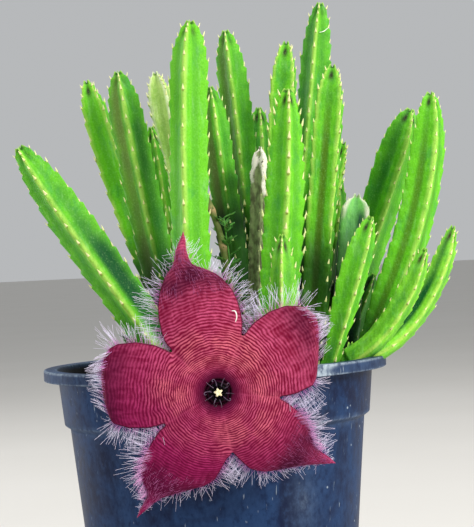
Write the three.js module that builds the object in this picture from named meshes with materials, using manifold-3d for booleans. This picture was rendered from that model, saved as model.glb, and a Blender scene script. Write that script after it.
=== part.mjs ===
// A potted hairy starfish flower: toothed four-ribbed succulent stems in a plastic nursery pot,
// with one large hairy five-lobed flower that hangs over the front of the rim on its stalk.
// Millimetres, +Z up. The origin is the middle of the pot's flat underside, and the front is -Y.

import * as THREE from 'three';
import { mergeVertices } from 'three/addons/utils/BufferGeometryUtils.js';
import Module from 'manifold-3d';

const wasm = await Module();
wasm.setup();

// Clearance between neighbouring pieces
const GAP = 0.3;

// Pot: outer radii and heights of its profile, from the floor up
const POT_HEIGHT = 185;
const POT_WALL = 1.6;
const POT_FLOOR = 3;
const FOOT_RADIUS = 71.5;
const FOOT_CHAMFER = 1.5;
const STEP_Z = 150;
const STEP_RISE = 3.5;
const BODY_TOP_RADIUS = 86;
const COLLAR_BOTTOM_RADIUS = 89.2;
const COLLAR_TOP_RADIUS = 91.8;
const RIM_RADIUS = 100;
const RIM_HEIGHT = 6.3;
const RIM_WALL = 1.6;
const RIM_ROUND = 0.8;
const MOUTH_RADIUS = 92.5;
const POT_SIDES = 40;
const DRAIN_HOLES = 6;
const DRAIN_HOLE_RADIUS = 4.5;
const DRAIN_CIRCLE_RADIUS = 52;
const DRAIN_HOLE_SIDES = 12;

// Soil
const SOIL_Z = 168;
const SOIL_BUMP = 1.6;
const SOIL_RINGS = 3;
const SOIL_SLACK = 0.1;
const ROOT_Z = 157;
const HOLE_CLEARANCE = 1.1;
const HOLE_SIDES = 7;

// Stems: a four-pointed section, with teeth that alternate on neighbouring ribs
const TOOTH_PITCH = 16.5;
const TOOTH_REACH = 1.7;
const TOOTH_LEAN = 2.6;
const TIP_LEAN = 0.9;
const TOOTHLESS_BASE = 24;
const GROOVE_RATIO = 0.6;
const ROOT_GROOVE_RATIO = 0.84;
const FOOT_SHARE = 0.6;
const NECK = 45;
const ROOT_STRAIGHT = 14;
const TAPER = 30;
const TAPER_DEPTH = 0.86;
const TIP_HOLLOW = 3;
const SECTION_CORNERS = 8;

// Each stem passes from its root at ROOT_Z through bend, half way along, to its tip.
// rib is the radius at a rib and turn rotates the ribs in degrees about the stem. foot is the
// share of that radius at the root, neck is the distance from the root at which the stem
// reaches its full width, and taper is the length over which it narrows to its tip.
const STEMS = [
  {
    name: 'stem_far_left', root: [-4, -26], bend: [-60, -38, 239], tip: [-102, -50, 310], rib: 11.4,
    turn: -22,
  },
  { name: 'stem_left_bright', root: [-2, 34], bend: [-41, 25, 256], tip: [-68, 16, 352], rib: 9.8, turn: 40 },
  { name: 'stem_left_olive', root: [-15, -6], bend: [-33, -8, 258], tip: [-48, -8, 354], rib: 10.2, turn: 3 },
  { name: 'stem_left_back', root: [-16, 52], bend: [-23, 47, 246], tip: [-32, 43, 325], rib: 7, turn: 10 },
  { name: 'stem_left_hidden', root: [-6, 68], bend: [-19, 68, 248], tip: [-26, 68, 323], rib: 7, turn: 30 },
  {
    name: 'stem_pale_club', root: [-6, 10], bend: [-15, 11, 262], tip: [-27, 13, 355], rib: 8.6, turn: 35,
    neck: 190,
  },
  {
    name: 'stem_tall_left', root: [-9, -46], bend: [-10, -44, 270], tip: [-5, -40, 377], rib: 11.2,
    turn: -21,
  },
  { name: 'stem_mid_dark', root: [24, 4], bend: [13, 4, 258], tip: [5, 4, 344], rib: 8.4, turn: 8 },
  { name: 'stem_mid_tall', root: [24, 30], bend: [24, 30, 272], tip: [16, 30, 380], rib: 9.2, turn: -6 },
  {
    name: 'stem_centre', root: [29, -42], bend: [41, -42, 250], tip: [48, -42, 336], rib: 11.4, turn: 8,
    taper: 75,
  },
  { name: 'stem_behind_centre', root: [38, 8], bend: [42, 9, 265], tip: [51, 10, 369], rib: 9.7, turn: 38 },
  {
    name: 'stem_tallest', root: [38, 52], bend: [58, 50, 272], tip: [75, 50, 397], rib: 9.4, turn: -12,
    taper: 40,
  },
  { name: 'stem_right_centre', root: [53, -2], bend: [65, -1, 255], tip: [77, 0, 353], rib: 10.6, turn: 38 },
  {
    name: 'stem_corky', root: [74, 20], bend: [81, 16, 220], tip: [89, 15, 279], rib: 9.8, turn: 45,
    taper: 16,
  },
  {
    name: 'stem_right_front', root: [57, -46], bend: [73, -49, 212], tip: [90, -50, 262], rib: 8.8, turn: 24,
    neck: 75,
  },
  {
    name: 'stem_right_dark', root: [58, 42], bend: [93, 48, 244], tip: [127, 48, 329], rib: 10.4, turn: 17,
    neck: 85,
  },
  {
    name: 'stem_right_arched', root: [65, -10], bend: [115, 5, 243], tip: [137, 20, 336], rib: 10.4, turn: 20,
    foot: 0.45, neck: 95, taper: 45,
  },
  { name: 'stem_back_dark', root: [28, 68], bend: [33, 70, 250], tip: [35, 70, 336], rib: 8.6, turn: 12 },
  { name: 'stem_back_narrow', root: [54, 22], bend: [64, 33, 236], tip: [84, 35, 310], rib: 7.6, turn: 40 },
  {
    name: 'stem_back_right', root: [49, 59], bend: [73, 64, 236], tip: [82, 65, 290], rib: 7.8, turn: 15,
    neck: 80,
  },
];

// The dead stem that still stands among the green ones
const DRIED_STEM = {
  name: 'stem_dried', root: [23, -20], bend: [26, -15, 236], tip: [32, -11, 308], rib: 4.8, turn: 20,
};

// A short trunk at the right of the rim that carries two young stems, all grown as one
const PAIR_TRUNK = {
  root: [73, -26], bend: [77, -26, 180], tip: [79, -26, 200], rib: 7.6, turn: 30, neck: 30,
};
const PAIR_BRANCHES = [
  { root: [77, -27, 187], bend: [102, -33, 206], tip: [121, -38, 243], rib: 6.8, turn: 20, neck: 45 },
  { root: [76, -25, 191], bend: [115, -20, 205], tip: [141, -14, 255], rib: 6.8, turn: -18, neck: 60 },
];

// The young stem at the front that bears the flower
const FLOWERING_STEM = {
  root: [35, -66], bend: [38, -68, 205], tip: [40, -70, 254], rib: 7.8, turn: -6, taper: 35,
};
const FLOWER_STALK_POINTS = [
  [35, -66, 184], [23, -84, 199], [8, -101, 197], [1, -110, 187], [1, -113, 177],
];
const FLOWER_STALK_RADIUS = 3;

// Old bare stalk between the stems
const BARE_STALK_POINTS = [[12, -24, 157], [12, -24, 172], [12, -25, 203], [8, -25, 250], [2, -25, 277]];
const BARE_STALK_RADIUS = 2.2;

// Weed sprigs in the soil: root, tip and how many leaflets each bears
const SPRIGS = [
  { name: 'weed_sprig_middle', root: [16, -15, 164], tip: [13, -13, 252], leaflets: 12, reach: 7, seed: 5 },
  { name: 'weed_sprig_left', root: [-42, -8, 164], tip: [-52, -14, 230], leaflets: 9, reach: 6, seed: 8 },
];
const SPRIG_RADIUS = 0.8;
const SPRIG_TIP_RADIUS = 0.5;
const LEAFLET_RADIUS = 0.6;
const LEAFLET_TURN = 2.4;
const LEAFLETS_START = 0.5;

// Flower: lobes at equal angles about its centre, seen from the front
const FLOWER_CENTRE = [1, -124, 176];
const THROAT_RADIUS = 6.5;
const SINUS_RADIUS = 31.6;
const LOBE_HALF_ANGLE = Math.PI / 5;
const COROLLA_THICKNESS = 2;
const TIP_THICKNESS = 1.2;
const RING_STATIONS = 8;
const LOBE_STATIONS = 13;
const LOBE_COLUMNS = 8;
const RIDGE_HEIGHT = 0.45;
const MARGIN_DROOP = 2.6;
const FOLD_RADIUS = 6;

// angle is where the lobe points, length reaches to its tip, and swing is how far the tip lies
// aside. The lobe bends back by fold degrees past foldAt, on a line turned by foldTurn degrees.
const LOBES = [
  { angle: 100.3, length: 85, swing: 2, foldAt: 62, fold: 14, foldTurn: 0 },
  { angle: 172.3, length: 80, swing: 0, foldAt: 54, fold: 118, foldTurn: 8 },
  { angle: 244.3, length: 80, swing: -12, foldAt: 60, fold: 24, foldTurn: 0 },
  { angle: 316.3, length: 74, swing: 13, foldAt: 58, fold: 26, foldTurn: 0 },
  { angle: 28.3, length: 82, swing: 0, foldAt: 54, fold: 112, foldTurn: -26 },
];

// Half-width of a lobe 80 long at distances from the flower's centre
const OUTLINE_LENGTH = 80;
const LOBE_OUTLINE = [
  [25.6, 18.6], [34, 21.4], [43, 22.2], [52, 20.4], [59, 15.5], [64, 9], [69, 4.8], [76, 2.4],
  [OUTLINE_LENGTH, 0.8],
];

// Height of the front face at distances from the centre: it sinks into the throat
const THROAT_DEPTH = 5.2;
const FUNNEL = [[THROAT_RADIUS, -THROAT_DEPTH], [12, -3.2], [20, -1.2], [30, 0], [OUTLINE_LENGTH, 0]];

// Stiff hairs along the margins
const HAIRS_PER_MARGIN = 6;
const HAIR_LENGTH = 9;
const HAIR_RADIUS = 0.5;
const HAIR_ROOT = 1.4;
const HAIRS_END = 0.84;
const HAIR_SEED = 3;

// Corona: a cup in the throat with a boss on it. Horns run from one place to another, each given
// as its distance from the axis and its height: long ones lie out over the disc, short ones stand.
const CORONA_RADIUS = THROAT_RADIUS - GAP;
const CORONA_HORNS = 5;
const CUP_FRONT = -3.6;
const BOSS_FRONT = -1.8;
const BOSS_BASE_RADIUS = 4.4;
const BOSS_TOP_RADIUS = 3.4;
const LONG_HORN = { from: [2.5, -3.4], to: [8.2, -0.8], radius: 1.2 };
const SHORT_HORN = { from: [3.4, -3.2], to: [4.6, 0.6], radius: 0.9 };

// Cream star on the boss
const STAR_OUTER = 3.5;
const STAR_INNER = 1.5;
const STAR_HEIGHT = 1.4;

// Calyx behind the flower
const CALYX_RADIUS = 8;
const CALYX_THICKNESS = 2.6;
const SEPAL_LENGTH = 15;
const SEPAL_WIDTH = 3.2;
const SEPAL_FLATNESS = 0.3;
const SEPAL_SEAT = 4;

const FRONT = new THREE.Vector3(0, -1, 0);
const UP = new THREE.Vector3(0, 0, 1);
const CYLINDER_AXIS = new THREE.Vector3(0, 1, 0);

const object = new THREE.Group();

/** Adds one named sub-part with a material of its own. */
function add(name, geometry, color, roughness, metalness = 0) {
  geometry.computeVertexNormals();
  const material = new THREE.MeshStandardMaterial({ color, roughness, metalness });
  const mesh = new THREE.Mesh(geometry, material);
  mesh.name = name;
  object.add(mesh);
}

/** An indexed geometry from a list of Vector3 points and a list of triangles. */
function surface(points, faces) {
  const geometry = new THREE.BufferGeometry();
  const places = points.flatMap((point) => point.toArray());
  geometry.setAttribute('position', new THREE.Float32BufferAttribute(places, 3));
  geometry.setIndex(faces.flat());
  return geometry;
}

/** A closed geometry as a solid that can be joined and cut. */
function solidOf(geometry) {
  const bare = geometry.clone();
  bare.deleteAttribute('normal');
  bare.deleteAttribute('uv');
  const merged = mergeVertices(bare, 1e-5);
  return new wasm.Manifold(new wasm.Mesh({
    numProp: 3,
    vertProperties: new Float32Array(merged.attributes.position.array),
    triVerts: new Uint32Array(merged.index.array),
  }));
}

/** A joined or cut solid as a geometry again. */
function geometryOf(solid) {
  const { vertProperties, triVerts } = solid.getMesh();
  const geometry = new THREE.BufferGeometry();
  geometry.setAttribute('position', new THREE.BufferAttribute(new Float32Array(vertProperties), 3));
  geometry.setIndex(new THREE.BufferAttribute(new Uint32Array(triVerts), 1));
  return geometry;
}

/** Several closed geometries grown together as one. */
function joined(geometries) {
  return geometryOf(geometries.map(solidOf).reduce((whole, next) => whole.add(next)));
}

/** A repeatable source of random numbers from 0 to 1. */
function randomFrom(seed) {
  let state = seed;
  return () => {
    state = (state * 1664525 + 1013904223) % 4294967296;
    return state / 4294967296;
  };
}

/** 0 below low, 1 above high, and a smooth rise between them. */
function smoothstep(low, high, value) {
  return THREE.MathUtils.smoothstep(value, low, high);
}

/** The value at x of a line through the given points. */
function interpolate(points, x) {
  const next = points.findIndex((point) => point[0] >= x);
  if (next <= 0) {
    return next === 0 ? points[0][1] : points[points.length - 1][1];
  }
  const [x0, y0] = points[next - 1];
  const [x1, y1] = points[next];
  return y0 + ((x - x0) / (x1 - x0)) * (y1 - y0);
}

/** A cylinder from one point to another. */
function rod(from, to, radius, sides, endRadius = radius) {
  const axis = new THREE.Vector3().subVectors(to, from);
  const geometry = new THREE.CylinderGeometry(endRadius, radius, axis.length(), sides);
  const turn = new THREE.Quaternion().setFromUnitVectors(CYLINDER_AXIS, axis.clone().normalize());
  geometry.applyQuaternion(turn);
  const middle = new THREE.Vector3().addVectors(from, to).multiplyScalar(0.5);
  return geometry.translate(middle.x, middle.y, middle.z);
}

/** A pointed spike from its root to its tip. */
function spike(from, to, radius, sides) {
  return rod(from, to, radius, sides, 0);
}

/** A round shape swept along a smooth curve through the points. */
function tube(points, radius, sides, steps) {
  const section = new THREE.Shape();
  for (let side = 0; side < sides; side += 1) {
    const angle = (side / sides) * 2 * Math.PI;
    const place = [radius * Math.cos(angle), radius * Math.sin(angle)];
    if (side === 0) {
      section.moveTo(...place);
    } else {
      section.lineTo(...place);
    }
  }
  const path = new THREE.CatmullRomCurve3(points.map((point) => new THREE.Vector3(...point)));
  return new THREE.ExtrudeGeometry(section, { steps, extrudePath: path, bevelEnabled: false });
}

// Pot

/** Outer radius of the pot's lower body at a height. */
function bodyRadius(z) {
  return FOOT_RADIUS + (z / STEP_Z) * (BODY_TOP_RADIUS - FOOT_RADIUS);
}

/** Outer radius of the collar above the step at a height. */
function collarRadius(z) {
  const bottom = STEP_Z + STEP_RISE;
  const share = (z - bottom) / (POT_HEIGHT - RIM_HEIGHT - bottom);
  return COLLAR_BOTTOM_RADIUS + share * (COLLAR_TOP_RADIUS - COLLAR_BOTTOM_RADIUS);
}

function potGeometry() {
  const rimBottom = POT_HEIGHT - RIM_HEIGHT;
  const profile = [
    [0, 0],
    [FOOT_RADIUS - FOOT_CHAMFER, 0],
    [bodyRadius(FOOT_CHAMFER), FOOT_CHAMFER],
    [BODY_TOP_RADIUS, STEP_Z],
    [COLLAR_BOTTOM_RADIUS, STEP_Z + STEP_RISE],
    [COLLAR_TOP_RADIUS, rimBottom],
    [COLLAR_TOP_RADIUS, POT_HEIGHT - RIM_WALL],
    [RIM_RADIUS - RIM_WALL, POT_HEIGHT - RIM_WALL],
    [RIM_RADIUS - RIM_WALL, rimBottom],
    [RIM_RADIUS, rimBottom],
    [RIM_RADIUS, POT_HEIGHT - RIM_ROUND],
    [RIM_RADIUS - RIM_ROUND, POT_HEIGHT],
    [MOUTH_RADIUS, POT_HEIGHT],
    [COLLAR_TOP_RADIUS - POT_WALL, rimBottom],
    [COLLAR_BOTTOM_RADIUS - POT_WALL, STEP_Z + STEP_RISE],
    [BODY_TOP_RADIUS - POT_WALL, STEP_Z],
    [bodyRadius(POT_FLOOR) - POT_WALL, POT_FLOOR],
    [0, POT_FLOOR],
  ];
  const lathe = new THREE.LatheGeometry(profile.map(([r, z]) => new THREE.Vector2(r, z)), POT_SIDES);
  lathe.rotateX(Math.PI / 2);
  let pot = solidOf(lathe);
  for (let hole = 0; hole < DRAIN_HOLES; hole += 1) {
    const angle = (hole / DRAIN_HOLES) * 2 * Math.PI;
    const x = DRAIN_CIRCLE_RADIUS * Math.cos(angle);
    const y = DRAIN_CIRCLE_RADIUS * Math.sin(angle);
    const below = new THREE.Vector3(x, y, -1);
    const above = new THREE.Vector3(x, y, POT_FLOOR + 1);
    pot = pot.subtract(solidOf(rod(below, above, DRAIN_HOLE_RADIUS, DRAIN_HOLE_SIDES)));
  }
  return geometryOf(pot);
}

// Stems

/** The root of a stem as a point, at ROOT_Z unless it has a height of its own. */
function rootOf(stem) {
  const [x, y, z = ROOT_Z] = stem.root;
  return new THREE.Vector3(x, y, z);
}

/** The curve from root to tip that passes through bend half way. */
function pathOf(stem) {
  const root = rootOf(stem);
  const tip = new THREE.Vector3(...stem.tip);
  const control = new THREE.Vector3(...stem.bend).multiplyScalar(2);
  control.addScaledVector(root, -0.5).addScaledVector(tip, -0.5);
  return new THREE.QuadraticBezierCurve3(root, control, tip);
}

/** Share of the full width that a stem has at a distance from its root. */
function widthShare(stem, fromRoot, length) {
  const { foot = FOOT_SHARE, neck = NECK, taper = TAPER } = stem;
  const growthStart = Math.max(ROOT_STRAIGHT, neck / 3);
  const grown = foot + (1 - foot) * smoothstep(growthStart, neck, fromRoot);
  const nearTip = Math.max(0, 1 - (length - fromRoot) / taper);
  return grown * Math.sqrt(1 - TAPER_DEPTH * nearTip * nearTip);
}

function stemGeometry(stem) {
  const path = pathOf(stem);
  const length = path.getLength();
  const stations = Math.round(length / (TOOTH_PITCH / 2));
  const points = [];
  const faces = [];
  for (let station = 0; station <= stations; station += 1) {
    const share = station / stations;
    const fromRoot = share * length;
    const centre = path.getPointAt(share);
    const tangent = path.getTangentAt(share);
    const front = FRONT.clone().addScaledVector(tangent, -FRONT.dot(tangent)).normalize();
    const side = tangent.clone().cross(front);
    const radius = stem.rib * widthShare(stem, fromRoot, length);
    const rounding = smoothstep(TOOTHLESS_BASE, 2 * TOOTHLESS_BASE, fromRoot);
    const grooveRatio = THREE.MathUtils.lerp(ROOT_GROOVE_RATIO, GROOVE_RATIO, rounding);
    for (let corner = 0; corner < SECTION_CORNERS; corner += 1) {
      const angle = THREE.MathUtils.degToRad(stem.turn) + (corner / SECTION_CORNERS) * 2 * Math.PI;
      const isRib = corner % 2 === 0;
      const isTip = isRib && station === stations;
      const alternates = (station + corner / 2) % 2 === 0;
      const isTooth = isRib && !isTip && fromRoot > TOOTHLESS_BASE && alternates;
      const reach = isRib ? radius + (isTooth ? TOOTH_REACH : 0) : radius * grooveRatio;
      const point = centre.clone();
      point.addScaledVector(front, reach * Math.cos(angle)).addScaledVector(side, reach * Math.sin(angle));
      if (isTooth || isTip) {
        point.addScaledVector(tangent, isTip ? TIP_LEAN : TOOTH_LEAN);
      }
      points.push(point);
      if (station > 0) {
        const here = station * SECTION_CORNERS + corner;
        const next = station * SECTION_CORNERS + ((corner + 1) % SECTION_CORNERS);
        faces.push([here - SECTION_CORNERS, next - SECTION_CORNERS, next]);
        faces.push([here - SECTION_CORNERS, next, here]);
      }
    }
  }
  const rootPoint = points.length;
  const hollowPoint = rootPoint + 1;
  points.push(path.getPointAt(0), path.getPointAt(1).addScaledVector(path.getTangentAt(1), -TIP_HOLLOW));
  for (let corner = 0; corner < SECTION_CORNERS; corner += 1) {
    const next = (corner + 1) % SECTION_CORNERS;
    const top = stations * SECTION_CORNERS;
    faces.push([rootPoint, next, corner], [hollowPoint, top + corner, top + next]);
  }
  return surface(points, faces);
}

// Soil

/** The plain hole in the soil that a stem, a stalk or a sprig stands in. */
function holeFor(start, tangent, radius) {
  const from = start.clone().addScaledVector(tangent, -GAP);
  const reach = (SOIL_Z + 3 * SOIL_BUMP - start.z) / tangent.z + 2;
  return rod(from, start.clone().addScaledVector(tangent, reach), radius + HOLE_CLEARANCE, HOLE_SIDES);
}

function soilGeometry(holes) {
  const random = randomFrom(11);
  const inside = POT_WALL + GAP + SOIL_SLACK;
  const clearRadius = (z) => (z <= STEP_Z ? bodyRadius(z) : collarRadius(z)) - inside;
  const points = [new THREE.Vector3(0, 0, SOIL_Z)];
  const faces = [];
  const rings = [];
  for (let ring = 1; ring <= SOIL_RINGS; ring += 1) {
    rings.push([(ring / SOIL_RINGS) * clearRadius(SOIL_Z), SOIL_Z, ring < SOIL_RINGS ? SOIL_BUMP : 0]);
  }
  const stepTop = STEP_Z + STEP_RISE;
  rings.push([clearRadius(stepTop), stepTop, 0], [clearRadius(STEP_Z), STEP_Z, 0]);
  rings.push([clearRadius(POT_FLOOR), POT_FLOOR + GAP, 0]);
  for (const [radius, z, bump] of rings) {
    for (let side = 0; side < POT_SIDES; side += 1) {
      const angle = (side / POT_SIDES) * 2 * Math.PI;
      const lift = bump * (2 * random() - 1);
      points.push(new THREE.Vector3(radius * Math.sin(angle), radius * Math.cos(angle), z + lift));
    }
  }
  const bottom = points.length;
  points.push(new THREE.Vector3(0, 0, POT_FLOOR + GAP));
  for (let side = 0; side < POT_SIDES; side += 1) {
    const next = (side + 1) % POT_SIDES;
    faces.push([0, 1 + next, 1 + side]);
    for (let ring = 1; ring < rings.length; ring += 1) {
      const inner = 1 + (ring - 1) * POT_SIDES;
      const outer = inner + POT_SIDES;
      faces.push([inner + side, inner + next, outer + next], [inner + side, outer + next, outer + side]);
    }
    const last = bottom - POT_SIDES;
    faces.push([bottom, last + side, last + next]);
  }
  const block = solidOf(surface(points, faces));
  return geometryOf(holes.reduce((soil, hole) => soil.subtract(solidOf(hole)), block));
}

// Flower

/** A place on a lobe, from its axis distance, its place across and its height above the plane. */
function lobePoint(lobe, along, across, height) {
  const angle = THREE.MathUtils.degToRad(lobe.angle);
  const foldTurn = THREE.MathUtils.degToRad(lobe.foldTurn);
  const foldAngle = THREE.MathUtils.degToRad(lobe.fold);
  const past = (along - lobe.foldAt) * Math.cos(foldTurn) + across * Math.sin(foldTurn);
  let x = along;
  let y = across;
  let depth = height;
  if (past > 0) {
    const bent = Math.min(past / FOLD_RADIUS, foldAngle);
    const rest = past - bent * FOLD_RADIUS;
    const moved = (FOLD_RADIUS + height) * Math.sin(bent) + rest * Math.cos(bent);
    x += (moved - past) * Math.cos(foldTurn);
    y += (moved - past) * Math.sin(foldTurn);
    depth = (FOLD_RADIUS + height) * Math.cos(bent) - FOLD_RADIUS - rest * Math.sin(bent);
  }
  return new THREE.Vector3(
    FLOWER_CENTRE[0] + x * Math.cos(angle) - y * Math.sin(angle),
    FLOWER_CENTRE[1] - depth,
    FLOWER_CENTRE[2] + x * Math.sin(angle) + y * Math.cos(angle),
  );
}

/** Half-width of a lobe where its margin has reached a distance from the centre. */
function halfWidth(lobe, marginAt) {
  const start = LOBE_OUTLINE[0][0];
  const scaled = start + ((marginAt - start) / (lobe.length - start)) * (OUTLINE_LENGTH - start);
  return interpolate(LOBE_OUTLINE, scaled);
}

/**
 * A point of the corolla. along is the distance from the centre on the lobe's axis, share runs
 * from -1 to 1 across the lobe, and drop is how far the point lies below the front face.
 */
function corollaPoint(lobe, along, share, drop, ridge = 0) {
  const turn = share * LOBE_HALF_ANGLE;
  if (along <= SINUS_RADIUS) {
    const sink = MARGIN_DROOP * share * share * smoothstep(0.4 * SINUS_RADIUS, SINUS_RADIUS, along);
    const height = interpolate(FUNNEL, along) - sink + ridge - drop;
    return lobePoint(lobe, along * Math.cos(turn), along * Math.sin(turn), height);
  }
  const past = (along - SINUS_RADIUS) / (lobe.length - SINUS_RADIUS);
  const sag = SINUS_RADIUS * (1 - Math.cos(LOBE_HALF_ANGLE)) * (1 - past);
  const arch = (1 - Math.cos(turn)) / (1 - Math.cos(LOBE_HALF_ANGLE));
  const width = halfWidth(lobe, along - sag);
  const across = (width * Math.sin(turn)) / Math.sin(LOBE_HALF_ANGLE) + lobe.swing * past * past;
  return lobePoint(lobe, along - sag * arch, across, ridge - MARGIN_DROOP * share * share - drop);
}

/** Corolla thickness at a distance from the centre. */
function thickness(lobe, along) {
  return THREE.MathUtils.lerp(COROLLA_THICKNESS, TIP_THICKNESS, along / lobe.length);
}

/** The leathery corolla: a ridged disc that runs out into five pointed lobes. */
function corollaGeometry() {
  const points = [];
  const faces = [];
  const columns = LOBES.length * LOBE_COLUMNS;
  const put = (point) => points.push(point) - 1;
  const quad = (a, b, c, d) => faces.push([a, b, c], [a, c, d]);
  const isRidge = (station) => (station % 2 === 0 ? RIDGE_HEIGHT : 0);
  const rings = [];
  for (let station = 0; station <= RING_STATIONS; station += 1) {
    const along = THREE.MathUtils.lerp(THROAT_RADIUS, SINUS_RADIUS, station / RING_STATIONS);
    const ring = { front: [], back: [] };
    LOBES.forEach((lobe) => {
      for (let column = 0; column < LOBE_COLUMNS; column += 1) {
        const share = (2 * column) / LOBE_COLUMNS - 1;
        ring.front.push(put(corollaPoint(lobe, along, share, 0, isRidge(station))));
        ring.back.push(put(corollaPoint(lobe, along, share, thickness(lobe, along))));
      }
    });
    rings.push(ring);
  }
  for (let column = 0; column < columns; column += 1) {
    const next = (column + 1) % columns;
    quad(rings[0].front[column], rings[0].front[next], rings[0].back[next], rings[0].back[column]);
    for (let station = 1; station <= RING_STATIONS; station += 1) {
      const { front, back } = rings[station];
      const inner = rings[station - 1];
      quad(inner.front[column], front[column], front[next], inner.front[next]);
      quad(inner.back[column], inner.back[next], back[next], back[column]);
    }
  }
  LOBES.forEach((lobe, index) => {
    const ringColumn = (column) => (index * LOBE_COLUMNS + column) % columns;
    const pick = (side) => Array.from({ length: LOBE_COLUMNS + 1 }, (_, column) => side[ringColumn(column)]);
    let inner = { front: pick(rings[RING_STATIONS].front), back: pick(rings[RING_STATIONS].back) };
    for (let station = 1; station < LOBE_STATIONS; station += 1) {
      const along = THREE.MathUtils.lerp(SINUS_RADIUS, lobe.length, station / LOBE_STATIONS);
      const outer = { front: [], back: [] };
      for (let column = 0; column <= LOBE_COLUMNS; column += 1) {
        const share = (2 * column) / LOBE_COLUMNS - 1;
        const ridge = isRidge(station + RING_STATIONS) * (1 - share * share);
        outer.front.push(put(corollaPoint(lobe, along, share, 0, ridge)));
        outer.back.push(put(corollaPoint(lobe, along, share, thickness(lobe, along))));
      }
      for (let column = 0; column < LOBE_COLUMNS; column += 1) {
        quad(inner.front[column], outer.front[column], outer.front[column + 1], inner.front[column + 1]);
        quad(inner.back[column], inner.back[column + 1], outer.back[column + 1], outer.back[column]);
      }
      quad(inner.front[0], inner.back[0], outer.back[0], outer.front[0]);
      const last = LOBE_COLUMNS;
      quad(inner.front[last], outer.front[last], outer.back[last], inner.back[last]);
      inner = outer;
    }
    const tip = put(corollaPoint(lobe, lobe.length, 0, TIP_THICKNESS / 2));
    for (let column = 0; column < LOBE_COLUMNS; column += 1) {
      faces.push([inner.front[column], tip, inner.front[column + 1]]);
      faces.push([inner.back[column], inner.back[column + 1], tip]);
    }
    faces.push([inner.front[0], inner.back[0], tip]);
    faces.push([inner.front[LOBE_COLUMNS], tip, inner.back[LOBE_COLUMNS]]);
  });
  return surface(points, faces);
}

/** The stiff hairs that fringe both margins of every lobe. */
function hairGeometries() {
  const random = randomFrom(HAIR_SEED);
  const hairs = [];
  LOBES.forEach((lobe) => {
    [-1, 1].forEach((margin) => {
      for (let hair = 0; hair < HAIRS_PER_MARGIN; hair += 1) {
        const share = (hair + 0.3 + 0.4 * random()) / HAIRS_PER_MARGIN;
        const along = THREE.MathUtils.lerp(SINUS_RADIUS + 1, HAIRS_END * lobe.length, share);
        const depth = thickness(lobe, along) / 2;
        const edge = corollaPoint(lobe, along, margin, depth);
        const inside = corollaPoint(lobe, along, 0.7 * margin, depth);
        const ahead = corollaPoint(lobe, along + 1.5, margin, depth).sub(edge).normalize();
        const outward = edge.clone().sub(inside);
        outward.addScaledVector(ahead, -outward.dot(ahead)).normalize();
        outward.addScaledVector(ahead, 0.4 * random()).addScaledVector(FRONT, 0.2 - 0.5 * random());
        outward.normalize();
        const length = HAIR_LENGTH * (0.75 + 0.5 * random());
        const root = edge.clone().addScaledVector(outward, -HAIR_ROOT);
        hairs.push(spike(root, edge.clone().addScaledVector(outward, length), HAIR_RADIUS, 3));
      }
    });
  });
  return hairs;
}

/** A place in front of the flower's centre, from its angle, its radius and its depth. */
function flowerPoint(angle, radius, depth) {
  return new THREE.Vector3(
    FLOWER_CENTRE[0] + radius * Math.cos(angle),
    FLOWER_CENTRE[1] - depth,
    FLOWER_CENTRE[2] + radius * Math.sin(angle),
  );
}

/** The dark corona: a cup in the throat with horns that lie out over the disc. */
function coronaGeometry() {
  const back = flowerPoint(0, 0, -(COROLLA_THICKNESS + THROAT_DEPTH));
  const cupFront = flowerPoint(0, 0, CUP_FRONT);
  const bossBack = flowerPoint(0, 0, CUP_FRONT - 0.6);
  const bossFront = flowerPoint(0, 0, BOSS_FRONT);
  const parts = [
    rod(back, cupFront, CORONA_RADIUS, 14),
    rod(bossBack, bossFront, BOSS_BASE_RADIUS, 10, BOSS_TOP_RADIUS),
  ];
  for (let horn = 0; horn < CORONA_HORNS; horn += 1) {
    const turn = ((horn + 0.5) / CORONA_HORNS) * 2 * Math.PI;
    const angle = THREE.MathUtils.degToRad(LOBES[0].angle) + turn;
    for (const { from, to, radius } of [LONG_HORN, SHORT_HORN]) {
      parts.push(spike(flowerPoint(angle, ...from), flowerPoint(angle, ...to), radius, 5));
    }
  }
  return joined(parts);
}

/** The cream five-pointed head of the column. */
function starGeometry() {
  const star = new THREE.Shape();
  for (let corner = 0; corner < 10; corner += 1) {
    const radius = corner % 2 === 0 ? STAR_OUTER : STAR_INNER;
    const angle = THREE.MathUtils.degToRad(LOBES[0].angle) + (corner / 10) * 2 * Math.PI;
    const place = [radius * Math.cos(angle), radius * Math.sin(angle)];
    if (corner === 0) {
      star.moveTo(...place);
    } else {
      star.lineTo(...place);
    }
  }
  const geometry = new THREE.ExtrudeGeometry(star, { depth: STAR_HEIGHT, bevelEnabled: false });
  geometry.rotateX(Math.PI / 2);
  return geometry.translate(...flowerPoint(0, 0, BOSS_FRONT + GAP));
}

/** The calyx behind the corolla, with five narrow sepals, and the stalk that bears it. */
function calyxGeometries() {
  const front = -(COROLLA_THICKNESS + THROAT_DEPTH + GAP);
  const back = front - CALYX_THICKNESS;
  const parts = [rod(flowerPoint(0, 0, front), flowerPoint(0, 0, back), CALYX_RADIUS, 20)];
  for (const lobe of LOBES) {
    const angle = THREE.MathUtils.degToRad(lobe.angle) + LOBE_HALF_ANGLE;
    const cone = new THREE.ConeGeometry(SEPAL_WIDTH, SEPAL_LENGTH, 6);
    cone.scale(1, 1, SEPAL_FLATNESS).translate(0, SEPAL_LENGTH / 2 + CALYX_RADIUS - SEPAL_SEAT, 0);
    cone.rotateX(Math.PI / 2).rotateY(Math.PI / 2 - angle);
    parts.push(cone.translate(...flowerPoint(0, 0, (front + back) / 2)));
  }
  parts.push(tube(FLOWER_STALK_POINTS, FLOWER_STALK_RADIUS, 8, 12));
  return parts;
}

// Small growth between the stems

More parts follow.
